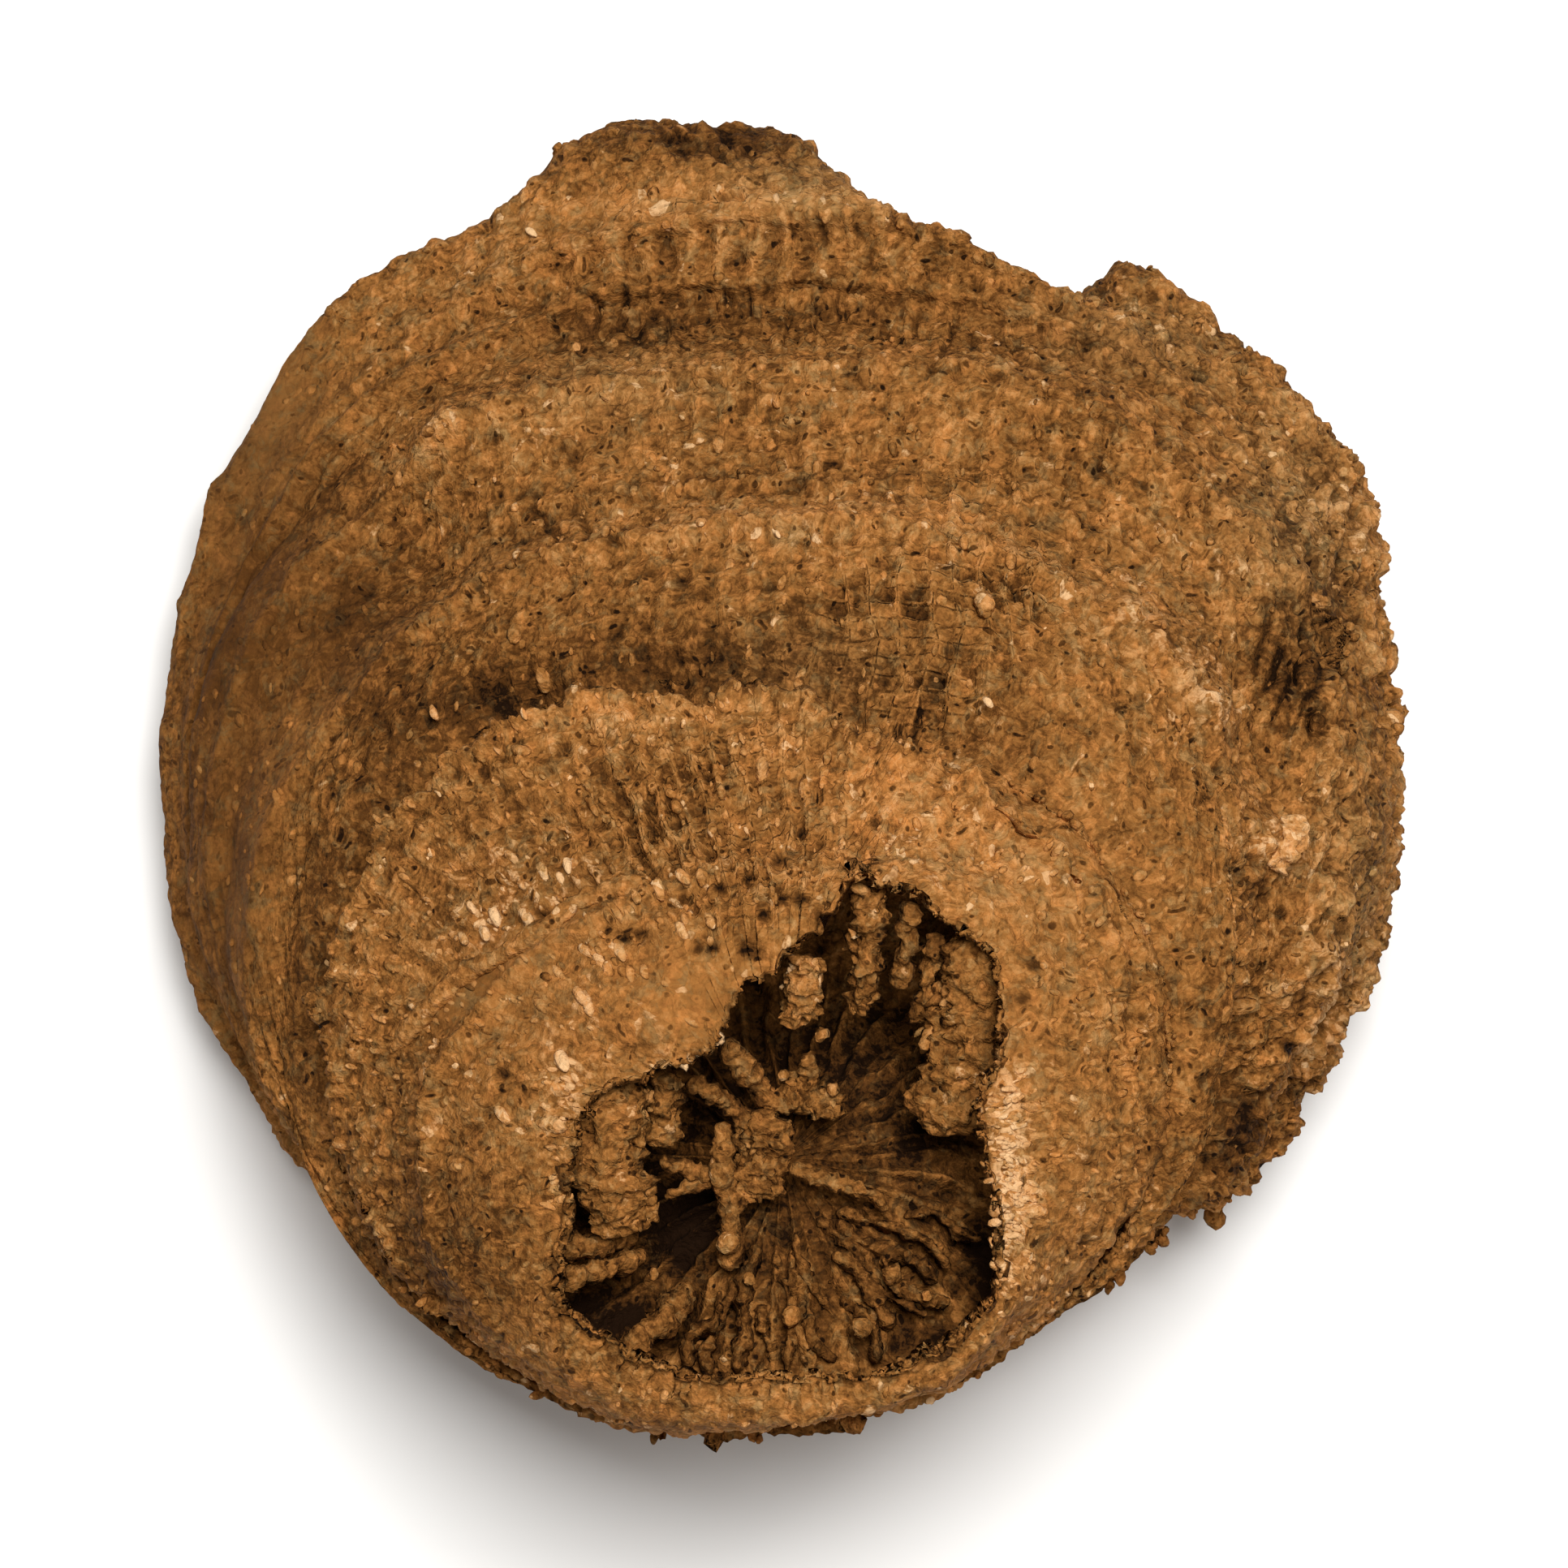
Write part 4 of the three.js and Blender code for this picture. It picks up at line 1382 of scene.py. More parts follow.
        return {
            "crumbs": CRUMB_HEIGHT * (0.75 * packed + 0.35 * soft) * wall.crumbly,
            "pits": -PIT_DEPTH * pits * (0.25 + 0.75 * patch) * np.minimum(wall.crumbly, 1.2),
            "knobs": KNOB_HEIGHT * (bulges[0] + 0.4 * bulges[1] - 0.4) * wall.nodular,
        }

    def steps(self, wall: Wall) -> np.ndarray:
        """Fine growth steps.

        Args:
            wall: The smooth wall.

        Returns:
            Their height in mm.
        """
        level = np.zeros_like(wall.along)
        stepping = wall.along / STEP_PITCH + 0.5 * soft_noise(wall.turns, level, 22, 1.0, self.seed + 23)
        stepping += 0.5 * self.drawn(wall, 24) + 0.25 * self.noise(wall, 26, 3.0, 25)
        phase = stepping - np.floor(stepping)
        strength = eased(0.45 + 1.1 * self.noise(wall, 20, 3.4, 26)) * np.minimum(wall.ribbed, 1.0)
        return STEP_HEIGHT * ((1 - phase) ** 2 * eased(phase / STEP_FRONT) - 0.3) * strength * wall.rough

    def relief(self, points: np.ndarray) -> tuple[np.ndarray, np.ndarray]:
        """Height of the crust over the smooth wall.

        Args:
            points: Points of the smooth wall.

        Returns:
            The whole height in mm, and the part of it that is painted as highlight on the grains and shade in
            the pits and grooves.
        """
        wall = self.wall(points)
        forms = self.chambers(wall) | self.crumbs(wall)
        forms |= {"septa": self.floor_septa(wall), "steps": self.steps(wall)}
        waving = self.strengths(Form.WAVES)
        waves = WAVE_HEIGHT * (self.noise(wall, 18, 5.0, 21) + 0.6 * self.noise(wall, 46, 2.1, 22)) * waving
        lumps = sum(lump.lift(points) for lump in LUMPS) - self.inset
        height = sum(forms.values()) + waves + lumps * (waving > 0) + self.ledge_rise(wall.turns, wall.along)
        self.layers = {
            "septum": np.sin(wall.across * math.pi),
            "story": np.sin(wall.rising * math.pi),
            "ribbed": np.clip(0.14 * wall.ribbed * wall.rough + wall.opened, 0, 1),
        }
        return height, sum(share * forms[name] for name, share in SHADES.items())

    def ledge_rise(self, turns: np.ndarray, along: np.ndarray) -> np.ndarray:
        """Growth ledges: each rises slowly with the growth and drops at a ragged edge.

        Args:
            turns: Places round the coral, from 0 to 1.
            along: Distances along the growth, in mm.

        Returns:
            How far they stand out, in mm.
        """
        rise = np.zeros_like(along)
        for number, ledge in enumerate(self.ledges):
            level = np.zeros_like(along)
            ragged = soft_noise(turns, level, SEPTA, 1.0, self.seed + 61 + number)
            ragged += 0.8 * soft_noise(turns, level, 30, 1.0, self.seed + 71 + number)
            past = along - along[self.ring_row(ledge.ring)] - ledge.offset - LEDGE_RAGGED * ragged
            shape = np.exp(-((past / np.where(past < 0, ledge.length, ledge.drop)) ** 2))
            rise += ledge.rise * shape * np.clip(around(ledge.side, turns), 0, None)
        return rise

    def floor_ridges(self, turns: np.ndarray, along: np.ndarray) -> np.ndarray:
        """Radial septa that stand up from the floor of the hollow.

        Args:
            turns: Places round the coral, from 0 to 1.
            along: Distances along the growth, in mm.

        Returns:
            Height from 0 to 1, with notched crests.
        """
        across = turns * FLOOR_SEPTA + 0.35 * soft_noise(turns, along, 26, 1.6, self.seed + 51)
        number = np.mod(np.round(across), FLOOR_SEPTA)
        crest = np.exp(-(((across - np.round(across)) / FLOOR_SEPTUM_WIDTH) ** 2))
        notches = 0.75 + 0.5 * soft_noise(turns, along, FLOOR_SEPTA, 0.45, self.seed + 52)
        return crest * notches * (0.55 + 0.6 * scattered(number, number * 0, self.seed + 53)) - 0.25

    def grow(self) -> None:
        """Lays the wall, roughens it and keeps its points, directions and layers."""
        smooth = self.toothed(self.laid())
        height, fine = self.relief(smooth)
        height[0] = height[-1] = 0
        fine[0] = fine[-1] = 0
        points = smooth + self.outward(smooth) * height[..., None]
        points[..., 2] = np.maximum(points[..., 2], 0.0)
        self.points = points
        self.normals = self.outward(points)
        turns = np.broadcast_to(self.turns(), height.shape)
        hollow = self.strengths(Form.SEPTA) > 0
        # Painted shade: full in the hollow, and in the furrows as far as painted_shade_side gives.
        side = np.clip(around(self.painted_shade_side, turns), 0, None)
        painted_shade = self.strengths(Form.PAINTED_SHADE) * np.where(hollow, 1.0, side)
        painted_shade = painted_shade * (0.75 + 0.25 * soft_noise(turns, self.travelled(points), 60, 1.5, self.seed + 41))
        grown = bent(points * np.array((1.0, 1.0, STEEP_STRETCH)))
        # Painted shadow of the hollow's voids, and the painted shade of furrows and hollow, darken the tone.
        tone = hollow * sum(stain.at(points) for stain in HOLLOW_SHADE) - 1.3 * painted_shade
        self.layers |= stained(points, np.clip(fine / RELIEF_SHADE_DEPTH, -1.8, 1.2), tone) | {"grown": grown}

    def build(self, finish: bpy.types.Material) -> bpy.types.Object:
        """Builds the cup."""
        self.grow()
        return dressed(woven(self.name, self.points, self.layers), finish)


# -------- small pieces


def unit(vectors: np.ndarray) -> np.ndarray:
    """Vectors brought to a length of 1."""
    return vectors / np.maximum(np.linalg.norm(vectors, axis=-1, keepdims=True), 1e-9)


def stained(points: np.ndarray, relief: np.ndarray, tone: np.ndarray) -> dict[str, np.ndarray]:
    """Layers that the finish reads, for points anywhere on the coral.

    Args:
        points: Points in mm.
        relief: How far each stands out of the crust, from -1 to 1, painted as highlight where it stands out
            and shade where it sinks.
        tone: Lightness that it has of its own, with painted light and shade where the wall carries them.

    Returns:
        The layers by name.
    """
    return {
        "relief": relief,
        "tone": tone + sum(stain.at(points) for stain in TONES_AND_SHADE),
        "rust": total(RUST, points),
        "pale": total(PALE, points),
        "olive": total(OLIVE, points),
        "calm": total(CALM, points),
        "grown": bent(points),
    }


@dataclass
class Grit:
    """Many small grains in one piece, each grown on at a place and lying its own way."""

    name: str
    places: np.ndarray  # middles in mm
    sizes: np.ndarray  # half sizes out, across and along, in mm
    along: np.ndarray  # direction of each grain's length
    out: np.ndarray  # direction in which it stands out
    tones: np.ndarray  # lightness of each
    seed: int
    slices: int = 7
    stacks: int = 5
    lumpy: float = 0.28  # how uneven each grain is
    plain: bool = False  # True where the patches of the wall, its painted light and shade among them, don't reach it

    def balls(self) -> bpy.types.Mesh:
        """Makes a ball for each grain, all at one place.

        Returns:
            A mesh whose points carry the number of their ball and their place on it.
        """
        heap = bmesh.new()
        bmesh.ops.create_uvsphere(heap, u_segments=self.slices, v_segments=self.stacks, radius=1.0)
        number = heap.verts.layers.int.new("number")
        corner = heap.verts.layers.int.new("corner")
        for index, point in enumerate(heap.verts):
            point[corner] = index
        made = 1
        while made < len(self.places):
            everything = heap.verts[:] + heap.edges[:] + heap.faces[:]
            for copied in bmesh.ops.duplicate(heap, geom=everything)["geom"]:
                if isinstance(copied, bmesh.types.BMVert):
                    copied[number] += made
            made *= 2
        spare = [point for point in heap.verts if point[number] >= len(self.places)]
        bmesh.ops.delete(heap, geom=spare, context="VERTS")
        return mesh_of(self.name, heap)

    def build(self, finish: bpy.types.Material) -> bpy.types.Object:
        """Builds the piece.

        Args:
            finish: Its material.

        Returns:
            The piece.
        """
        mesh = self.balls()
        flat = np.empty(len(mesh.vertices) * 3)
        mesh.vertices.foreach_get("co", flat)
        number = np.empty(len(mesh.vertices), int)
        mesh.attributes["number"].data.foreach_get("value", number)
        corner = np.empty(len(mesh.vertices), int)
        mesh.attributes["corner"].data.foreach_get("value", corner)
        balls = np.empty((len(self.places), int(corner.max()) + 1, 3))
        balls[number, corner] = flat.reshape(-1, 3)
        own = np.arange(len(self.places))[:, None, None] * 5.3
        uneven = 1 + self.lumpy * cloud(balls + own, 0.8, self.seed)[..., None]
        shaped = balls * uneven * self.sizes[:, None, :]
        out = unit(self.out)
        along = unit(self.along - out * np.sum(self.along * out, axis=-1, keepdims=True))
        across = np.cross(out, along)
        points = (
            self.places[:, None, :]
            + shaped[..., 2:3] * along[:, None, :]
            + shaped[..., 1:2] * across[:, None, :]
            + shaped[..., 0:1] * out[:, None, :]
        )
        mesh.vertices.foreach_set("co", in_row(points)[number, corner].ravel())
        # Painted highlight and shade: each grain lighter on its outer side and darker towards the wall.
        rise = np.sum((points - self.places[:, None, :]) * out[:, None, :], axis=-1)
        relief = 0.25 + 0.55 * rise / self.sizes[:, :1]
        tone = np.broadcast_to(self.tones[:, None], relief.shape)
        layers = stained(points, relief, tone)
        if self.plain:
            layers = {"relief": relief, "tone": tone, "grown": points}
        for title, values in layers.items():
            keep_layer(mesh, title, values[number, corner])
        for title in ("number", "corner"):
            mesh.attributes.remove(mesh.attributes[title])
        mesh.shade_smooth()
        return dressed(placed(self.name, mesh), finish)


def grown_on(
    name: str, stage: CupStage, count: int, weight: np.ndarray, size: tuple[float, float, float],
    spread: float, sink: float, seed: int, tone: float = 0.0,
) -> Grit:
    """Grains grown on a stage's wall, more of them where a weight is high.

    Args:
        name: Name of the piece.
        stage: Stage whose wall carries them.
        count: How many grains.
        weight: Likelihood of a grain at each point of the wall.
        size: Usual half sizes out, across and along, in mm.
        spread: How much sizes differ, as a share.
        sink: How deep the grains sit, as a share of their half size out.
        seed: Draw to make.
        tone: Lightness of the grains over the wall's.

    Returns:
        The grains.
    """
    draw = np.random.default_rng(seed)
    rising = np.gradient(stage.points, axis=0)
    across = np.roll(stage.points, -1, axis=1) - stage.points
    area = np.linalg.norm(np.cross(across, rising), axis=-1)
    likely = np.clip(weight, 0, None) * area
    likely = likely.ravel() / likely.sum()
    seats = draw.choice(likely.size, size=count, replace=False, p=likely)
    j, i = np.unravel_index(seats, weight.shape)
    scale = np.exp(draw.normal(0.0, spread, (count, 1))) * np.exp(draw.normal(0.0, 0.15, (count, 3)))
    sizes = np.array(size) * scale
    out = unit(stage.normals[j, i] + draw.normal(0.0, 0.22, (count, 3)))
    along = unit(rising[j, i]) + draw.normal(0.0, 0.25, (count, 3))
    places = stage.points[j, i] - out * sizes[:, :1] * sink
    tones = tone + draw.normal(0.0, 0.2, count)
    return Grit(name, places, sizes, along, out, tones, seed)


@dataclass(frozen=True)
class Rod:
    """Knobbly rod or blade of the skeleton inside the hollow."""

    path: Path
    thick: float  # half width in mm
    deep: float = 1.0  # height over width
    knobs: float = 1.2  # knobs to a mm
    tone: float = 0.0
    seed: int = 0
    rows: int = 44
    columns: int = 18
    rough: float = 0.17  # height of the crumbs on it, in mm

    def middle_line(self) -> np.ndarray:
        """Smooth line through the rod's path.

        Returns:
            One point for each row.
        """
        known = np.array(self.path, float)
        padded = np.concatenate([2 * known[:1] - known[1:2], known, 2 * known[-1:] - known[-2:-1]])
        place = np.linspace(0, len(known) - 1, self.rows)
        index = np.minimum(place.astype(int), len(known) - 2)
        before, start, end, after = (padded[index + step] for step in range(4))
        return curved((place - index)[:, None], start, end, (end - before) / 2, (after - start) / 2)

    def points(self) -> np.ndarray:
        """Points of the rod's skin.

        Returns:
            Rows and columns of points, closed at both ends.
        """
        line = self.middle_line()
        heading = unit(np.gradient(line, axis=0))
        side = unit(np.cross(heading, np.array([0.03, 0.05, 1.0])))
        top = np.cross(side, heading)
        length = np.concatenate([[0], np.cumsum(np.linalg.norm(np.diff(line, axis=0), axis=-1))])
        beat = 0.5 + 0.5 * np.cos(math.tau * (self.knobs * length + 0.37 * self.seed))
        share = np.linspace(0, 1, self.rows)
        taper = np.sqrt(np.clip(1 - (2 * share - 1) ** 8, 0, 1))
        wide = self.thick * (0.84 + 0.24 * beat) * taper
        angle = np.arange(self.columns) / self.columns * math.tau
        across, rising = np.cos(angle)[None, :, None], self.deep * np.sin(angle)[None, :, None]
        ring = across * side[:, None, :] + rising * top[:, None, :]
        uneven = 1 + 0.3 * cloud(line[:, None, :] + ring * self.thick, 0.35, self.seed)[..., None]
        smooth = line[:, None, :] + ring * wide[:, None, None] * uneven
        crumbs = 1.4
        for number, (pitch, depth) in enumerate(ROD_CRUMBS):
            crumbs = crumbs - depth * np.abs(cloud(smooth, pitch, self.seed + 1 + number))
        return smooth + unit(ring) * (self.rough * crumbs * taper[:, None])[..., None]


@dataclass
class Bundle:
    """Several rods as one piece."""

    name: str
    rods: tuple[Rod, ...]

    def build(self, finish: bpy.types.Material) -> bpy.types.Object:
        """Builds the rods and joins them.

        Args:
            finish: Their material.

        Returns:
            The piece.
        """
        bundle = bmesh.new()
        for number, rod in enumerate(self.rods):
            points = rod.points()
            # Painted highlight and shade: each rod lighter on its upper side and darker underneath.
            height = np.linspace(0, 1, rod.columns, endpoint=False)
            relief = np.broadcast_to(0.1 + 0.7 * np.sin(height * math.tau), points.shape[:2])
            tone = np.full(points.shape[:2], rod.tone)
            one = woven(f"{self.name}_{number}", points, {"relief": relief, "tone": tone, "grown": points})
            bundle.from_mesh(one.data)
            spare = one.data
            bpy.data.objects.remove(one)
            bpy.data.meshes.remove(spare)
        mesh = mesh_of(self.name, bundle)
        mesh.shade_smooth()
        return dressed(placed(self.name, mesh), finish)


@dataclass
class Hollow:
    """Skeleton that the broken tip lays open: septa on the floor, plates and rods on the wall."""

    middle: tuple[float, float] = (-0.5, -15.8)
    fan_from: float = 246.0  # the septa in sight, in degrees from +X
    fan_to: float = 344.0
    septa: int = 15
    reach: float = 7.7  # of a septum from the middle, in mm
    near: float = 0.45  # where it begins, as a share of its reach
    height: float = 23.7  # of its crest where it begins, in mm
    rise: float = 0.25  # of its crest towards the wall
    droop: float = 1.5  # how steeply the crests fall at both ends of the fan
    thick: float = 0.24  # half its width
    # the septa's own darker brown, with painted shade of the hollow
    tone: float = -0.6

    def fan(self) -> Bundle:
        """Septa that stand up from the near side of the floor.

        Returns:
            The septa.
        """
        rods = []
        for number in range(self.septa):
            share = (number + 0.3 * math.sin(number * 5.1)) / (self.septa - 1)
            angle = math.radians(self.fan_from + (self.fan_to - self.fan_from) * share)
            near = self.near + 0.18 * math.sin(number * 2.3 + 1)
            reach = self.reach + 0.5 * math.sin(number * 1.9)
            path = []
            for step in range(4):
                part = near + (1 - near) * step / 3
                bend = math.radians(3.0 * math.sin(step * 2.1 + number * 1.3))
                height = self.height + 0.3 * math.sin(number * 2.9 + step) + self.rise * step / 3
                height -= self.droop * max(0.0, abs(share - 0.5) - 0.25)
                path.append(
                    (
                        self.middle[0] + reach * part * math.cos(angle + bend),
                        self.middle[1] + reach * part * math.sin(angle + bend),
                        height,
                    )
                )
            thick = self.thick + 0.07 * math.sin(number * 4.3)
            tone = self.tone + 0.35 * math.sin(number * 3.1)
            rods.append(Rod(tuple(path), thick, 2.6, 1.1, tone, number, rows=48, columns=16, rough=0.2))
        return Bundle("floor_septa", tuple(rods))

    def frame_rods(self) -> Bundle:
        """Column, cross rods and bars that stand free in the hollow.

        Returns:
            The rods.
        """
        rods = (
            # path, half width, height over width, knobs to a mm, tone and shade, seed, rows, columns,
            # roughness
            Rod(((-2.2, -13.8, 26.0), (-2.3, -15.4, 25.6), (-1.9, -17.2, 24.9), (-2.0, -19.3, 24.0)),
                0.42, 1.0, 0.9, -0.2, 3),
            Rod(((-2.1, -10.9, 27.2), (-1.2, -12.2, 26.2), (-0.1, -13.5, 25.2)), 0.44, 1.2, 0.8, -0.1, 5),
            Rod(((-3.6, -12.4, 26.8), (-2.4, -13.0, 26.2), (-1.0, -14.2, 25.0)), 0.36, 1.0, 1.1, -0.35, 7),
            Rod(((0.2, -15.4, 25.0), (1.4, -15.9, 25.1), (2.7, -16.2, 25.0), (3.9, -17.0, 24.6)),
                0.26, 1.0, 1.0, 0.0, 9),
            Rod(((-4.6, -15.2, 25.6), (-3.4, -15.6, 25.2), (-2.2, -15.6, 25.2)), 0.3, 1.0, 1.2, -0.3, 11),
            Rod(((-4.4, -16.6, 24.8), (-3.6, -16.2, 25.0), (-2.6, -16.0, 25.2)), 0.24, 1.0, 1.3, -0.3, 12),
            Rod(((-8.4, -18.5, 26.4), (-6.9, -18.3, 25.4), (-5.6, -17.9, 24.0)), 0.50, 1.3, 0.8, -0.3, 13),
            Rod(((-8.3, -19.9, 26.0), (-6.8, -19.2, 25.0), (-5.3, -18.7, 23.4)), 0.42, 1.6, 0.8, -0.2, 15),
            Rod(((-5.9, -22.4, 25.4), (-4.6, -21.2, 24.6), (-3.6, -19.9, 23.4)), 0.55, 1.2, 0.9, -0.2, 17),
            Rod(((-0.8, -13.2, 25.6), (0.6, -13.0, 25.5), (2.2, -13.4, 25.3)), 0.42, 1.0, 0.9, -0.2, 19),
            Rod(((1.0, -11.2, 26.4), (0.9, -12.4, 25.8), (1.3, -13.6, 25.0)), 0.32, 1.0, 1.2, -0.3, 21),
            Rod(((7.3, -6.9, 29.0), (7.2, -9.4, 28.1), (6.5, -11.8, 27.0), (5.7, -14.3, 25.7)),
                1.40, 0.5, 0.35, -0.1, 31, 70, 48, 0.26),
            Rod(((8.6, -9.2, 28.2), (8.6, -11.5, 27.4), (8.0, -13.6, 26.6)),
                0.75, 1.3, 0.5, -0.3, 32, 44, 28, 0.26),
            Rod(((3.0, -5.4, 29.4), (3.1, -7.4, 28.4), (2.7, -9.9, 26.6)),
                0.50, 1.1, 0.6, -0.1, 33, 56, 26, 0.25),
            Rod(((4.6, -5.9, 29.2), (4.6, -7.4, 28.2), (4.2, -8.9, 27.2)),
                0.40, 1.2, 0.7, -0.25, 34, 40, 20, 0.2),
            Rod(((5.6, -7.0, 28.4), (5.4, -8.6, 27.4), (4.9, -10.2, 26.4)),
                0.40, 1.2, 0.7, -0.35, 35, 40, 20, 0.22),
            Rod(((0.8, -7.9, 28.4), (0.7, -9.0, 27.7), (0.5, -10.2, 26.4)),
                0.62, 0.9, 0.7, 0.35, 36, 44, 30, 0.25),
            Rod(((-6.5, -12.3, 29.0), (-6.5, -14.4, 28.4), (-6.2, -16.2, 27.5), (-5.7, -17.9, 26.2)),
                1.30, 0.55, 0.35, 0.0, 37, 66, 46, 0.24),
            Rod(((-4.6, -12.0, 28.2), (-4.4, -13.2, 27.2), (-4.6, -14.6, 26.2)),
                0.7, 0.9, 0.6, -0.25, 38, 40, 28, 0.25),
            Rod(((-0.8, -13.3, 25.6), (-0.7, -14.8, 25.3), (-1.2, -16.4, 24.6)),
                0.95, 0.7, 0.5, -0.2, 39, 46, 34, 0.3),
        )
        return Bundle("hollow_rods", rods)

    def plates(self) -> Grit:
        """Knobbly plates that hang from the far wall, and the round one on the left.

        Returns:
            The plates, each a close cluster of knobs.
        """
        draw = np.random.default_rng(77)
        slabs = (
            # upper end, lower end, half width, grain size, grains, tone and shade
            ((7.3, -7.2, 29.3), (5.8, -13.9, 26.4), 1.4, 0.15, 420, 0.1),
            ((3.1, -5.6, 29.8), (2.8, -9.8, 27.0), 0.5, 0.13, 110, 0.0),
            ((0.8, -8.0, 28.8), (0.6, -9.9, 27.0), 0.6, 0.15, 90, 0.7),
            ((-6.5, -12.6, 29.5), (-5.8, -17.6, 27.0), 1.3, 0.15, 330, 0.15),
            ((-0.5, -13.6, 26.1), (-1.4, -16.6, 25.2), 0.9, 0.14, 120, 0.0),
            ((0.2, -12.6, 26.0), (2.0, -13.2, 25.6), 0.6, 0.2, 60, -0.1),
        )
        places, sizes, tones, lengths = [], [], [], []
        for upper, lower, width, grain, count, tone in slabs:
            upper, lower = np.array(upper), np.array(lower)
            share = draw.random((count, 1))
            length = unit(lower - upper)
            side = unit(np.cross(length, np.array([0.0, 0.0, 1.0])))
            across = draw.uniform(-1, 1, (count, 1)) * width * (1 - 0.45 * share**2)
            across += 0.25 * width * np.sin(share * 9.0 + width * 7)
            depth = -0.45 * draw.random((count, 1)) - 0.5 * (across / width) ** 2 * width
            places.append(upper + (lower - upper) * share + side * across + np.array([0, 0, 1.0]) * depth)
            flat = np.array([0.75, 0.95, 1.5])
            scale = np.exp(draw.normal(0, 0.35, (count, 1))) * np.exp(draw.normal(0, 0.2, (count, 3)))
            sizes.append(grain * flat * scale)
            tones.append(tone + draw.normal(0, 0.35, count))
            lengths.append(np.tile(length, (count, 1)))
        loose = np.array(
            (
                (0.0, -12.1, 26.4), (1.8, -12.6, 25.9), (-2.0, -18.2, 25.0), (2.9, -21.4, 25.2),
                (5.3, -20.2, 25.0), (-1.3, -19.6, 24.8), (4.0, -19.4, 24.7), (0.3, -21.0, 25.0),
                (-4.8, -19.4, 24.6), (1.4, -10.6, 26.0),
            )
        )
        places = np.concatenate([*places, loose])
        round_ones = np.full((len(loose), 3), 0.3) * draw.uniform(0.7, 1.4, (len(loose), 1))
        sizes = np.concatenate([*sizes, round_ones])
        tones = np.concatenate([*tones, draw.uniform(0.0, 0.7, len(loose))])
        out = np.tile(np.array([0.0, 0.0, 1.0]), (len(places), 1)) + draw.normal(0, 0.4, (len(places), 3))
        along = np.concatenate([*lengths, np.ones((len(loose), 3))]) + draw.normal(0, 0.45, (len(places), 3))
        return Grit("hollow_plates", places, sizes, along, out, tones, 78, stacks=6, lumpy=0.55, plain=True)


# -------- studio


@dataclass(frozen=True)
class Studio:
    """Pale floor, soft lights and the camera over the narrow end of the fossil."""

    target: Point = (0.255, -1.206, 14.0)  # in mm
    elevation: float = 84.0
    distance: float = 300.0  # in mm
    lens: float = 178.0
    floor_size: float = 3.0  # half its side, in metres
    key_power: float = 6.8
    fill_power: float = 0.8
    sky_strength: float = 0.16
    sky_colour: Colour = (1.0, 0.98, 0.95)

    def floor(self) -> bpy.types.Object:
        """Lays the floor under the fossil.

        Returns:
            The floor.
        """
        sheet = bmesh.new()
        bmesh.ops.create_grid(sheet, x_segments=1, y_segments=1, size=self.floor_size)
        floor = placed("floor", mesh_of("floor", sheet))
        floor.data.materials.append(PaleFloor().make())
        return floor

    def lamp(self, name: str, place: Point, size: float, power: float) -> None:
        """Soft square lamp that faces the fossil.

        Args:
            name: Name of the lamp.
            place: Its place in metres.
            size: Length of its side in metres.
            power: Its power in watts.
        """
        light = bpy.data.lights.new(name, "AREA")
        light.size = size
        light.energy = power
        lamp = placed(name, light)
        lamp.location = place
        lamp.rotation_euler = (-Vector(place)).to_track_quat("-Z", "Y").to_euler()

    def light(self) -> None:
        """Sets the lamps and the soft light all round."""
        self.lamp("key_lamp", (0.06, 0.10, 0.68), 0.26, self.key_power)
        self.lamp("fill_lamp", (0.10, -0.50, 0.45), 0.5, self.fill_power)
        world = bpy.data.worlds.new("soft_light")
        world.use_nodes = True
        sky = world.node_tree.nodes["Background"]
        sky.inputs["Color"].default_value = (*self.sky_colour, 1.0)
        sky.inputs["Strength"].default_value = self.sky_strength
        bpy.context.scene.world = world
        bpy.context.scene.view_settings.view_transform = "Standard"

    def camera(self) -> None:
        """Sets the camera, with the coral's length up the picture."""
        lens = bpy.data.cameras.new("camera")
        lens.lens = self.lens
        lens.sensor_width = 36.0
        lens.clip_start = 0.01
        lens.clip_end = 20.0
        camera = placed("camera", lens)
        tilt = math.radians(self.elevation)
        away = Vector((0.0, -math.cos(tilt), math.sin(tilt)))
        camera.location = (Vector(self.target) + away * self.distance) * MM
        camera.rotation_euler = (math.radians(90 - self.elevation), 0.0, 0.0)
        bpy.context.scene.camera = camera


def last_stage() -> CupStage:
    """The last cup, from the calice underneath to its upper furrow.

    Returns:
        The stage.
    """
    furrow, ridge = THIRD_CUP[0], THIRD_CUP[1]
    end = (
        replace(furrow, rows=6),
        replace(sunk(halfway(furrow, ridge), 0.985, 0.5, 1), crisp=1.0),
        buried(furrow, 0.7, 8.0, 1),
        buried(furrow, 0.0, 6.0, 0),
    )
    return CupStage(
        name="last_cup",
        rings=LAST_CUP[:-1] + end,
        columns=1040,
        bead_cells=270,
        knob_cells=128,
        seed=100,
        start=8,
        ledges=(
            Ledge(9, 0.3, 0.5, 1.1, 0.16, (0.1, 0.5, 1.1, 0.6, 0.0, 0.0, 0.0, 0.0)),
            Ledge(10, -1.0, 0.7, 0.7, 0.16, (0.0, 0.3, 0.9, 1.1, 0.1, 0.0, 0.0, 0.0)),
        ),
        chamber_width=1.45,
        knob_side=(1.2, 1.0, 0.7, 0.4, 0.35, 0.8, 0.8, 1.2),
        bead_side=(1.2, 1.1, 1.0, 0.6, 0.4, 0.7, 0.9, 1.2),
        rib_side=(0.6, 0.8, 1.2, 0.7, 0.4, 0.8, 0.9, 0.6),
    )


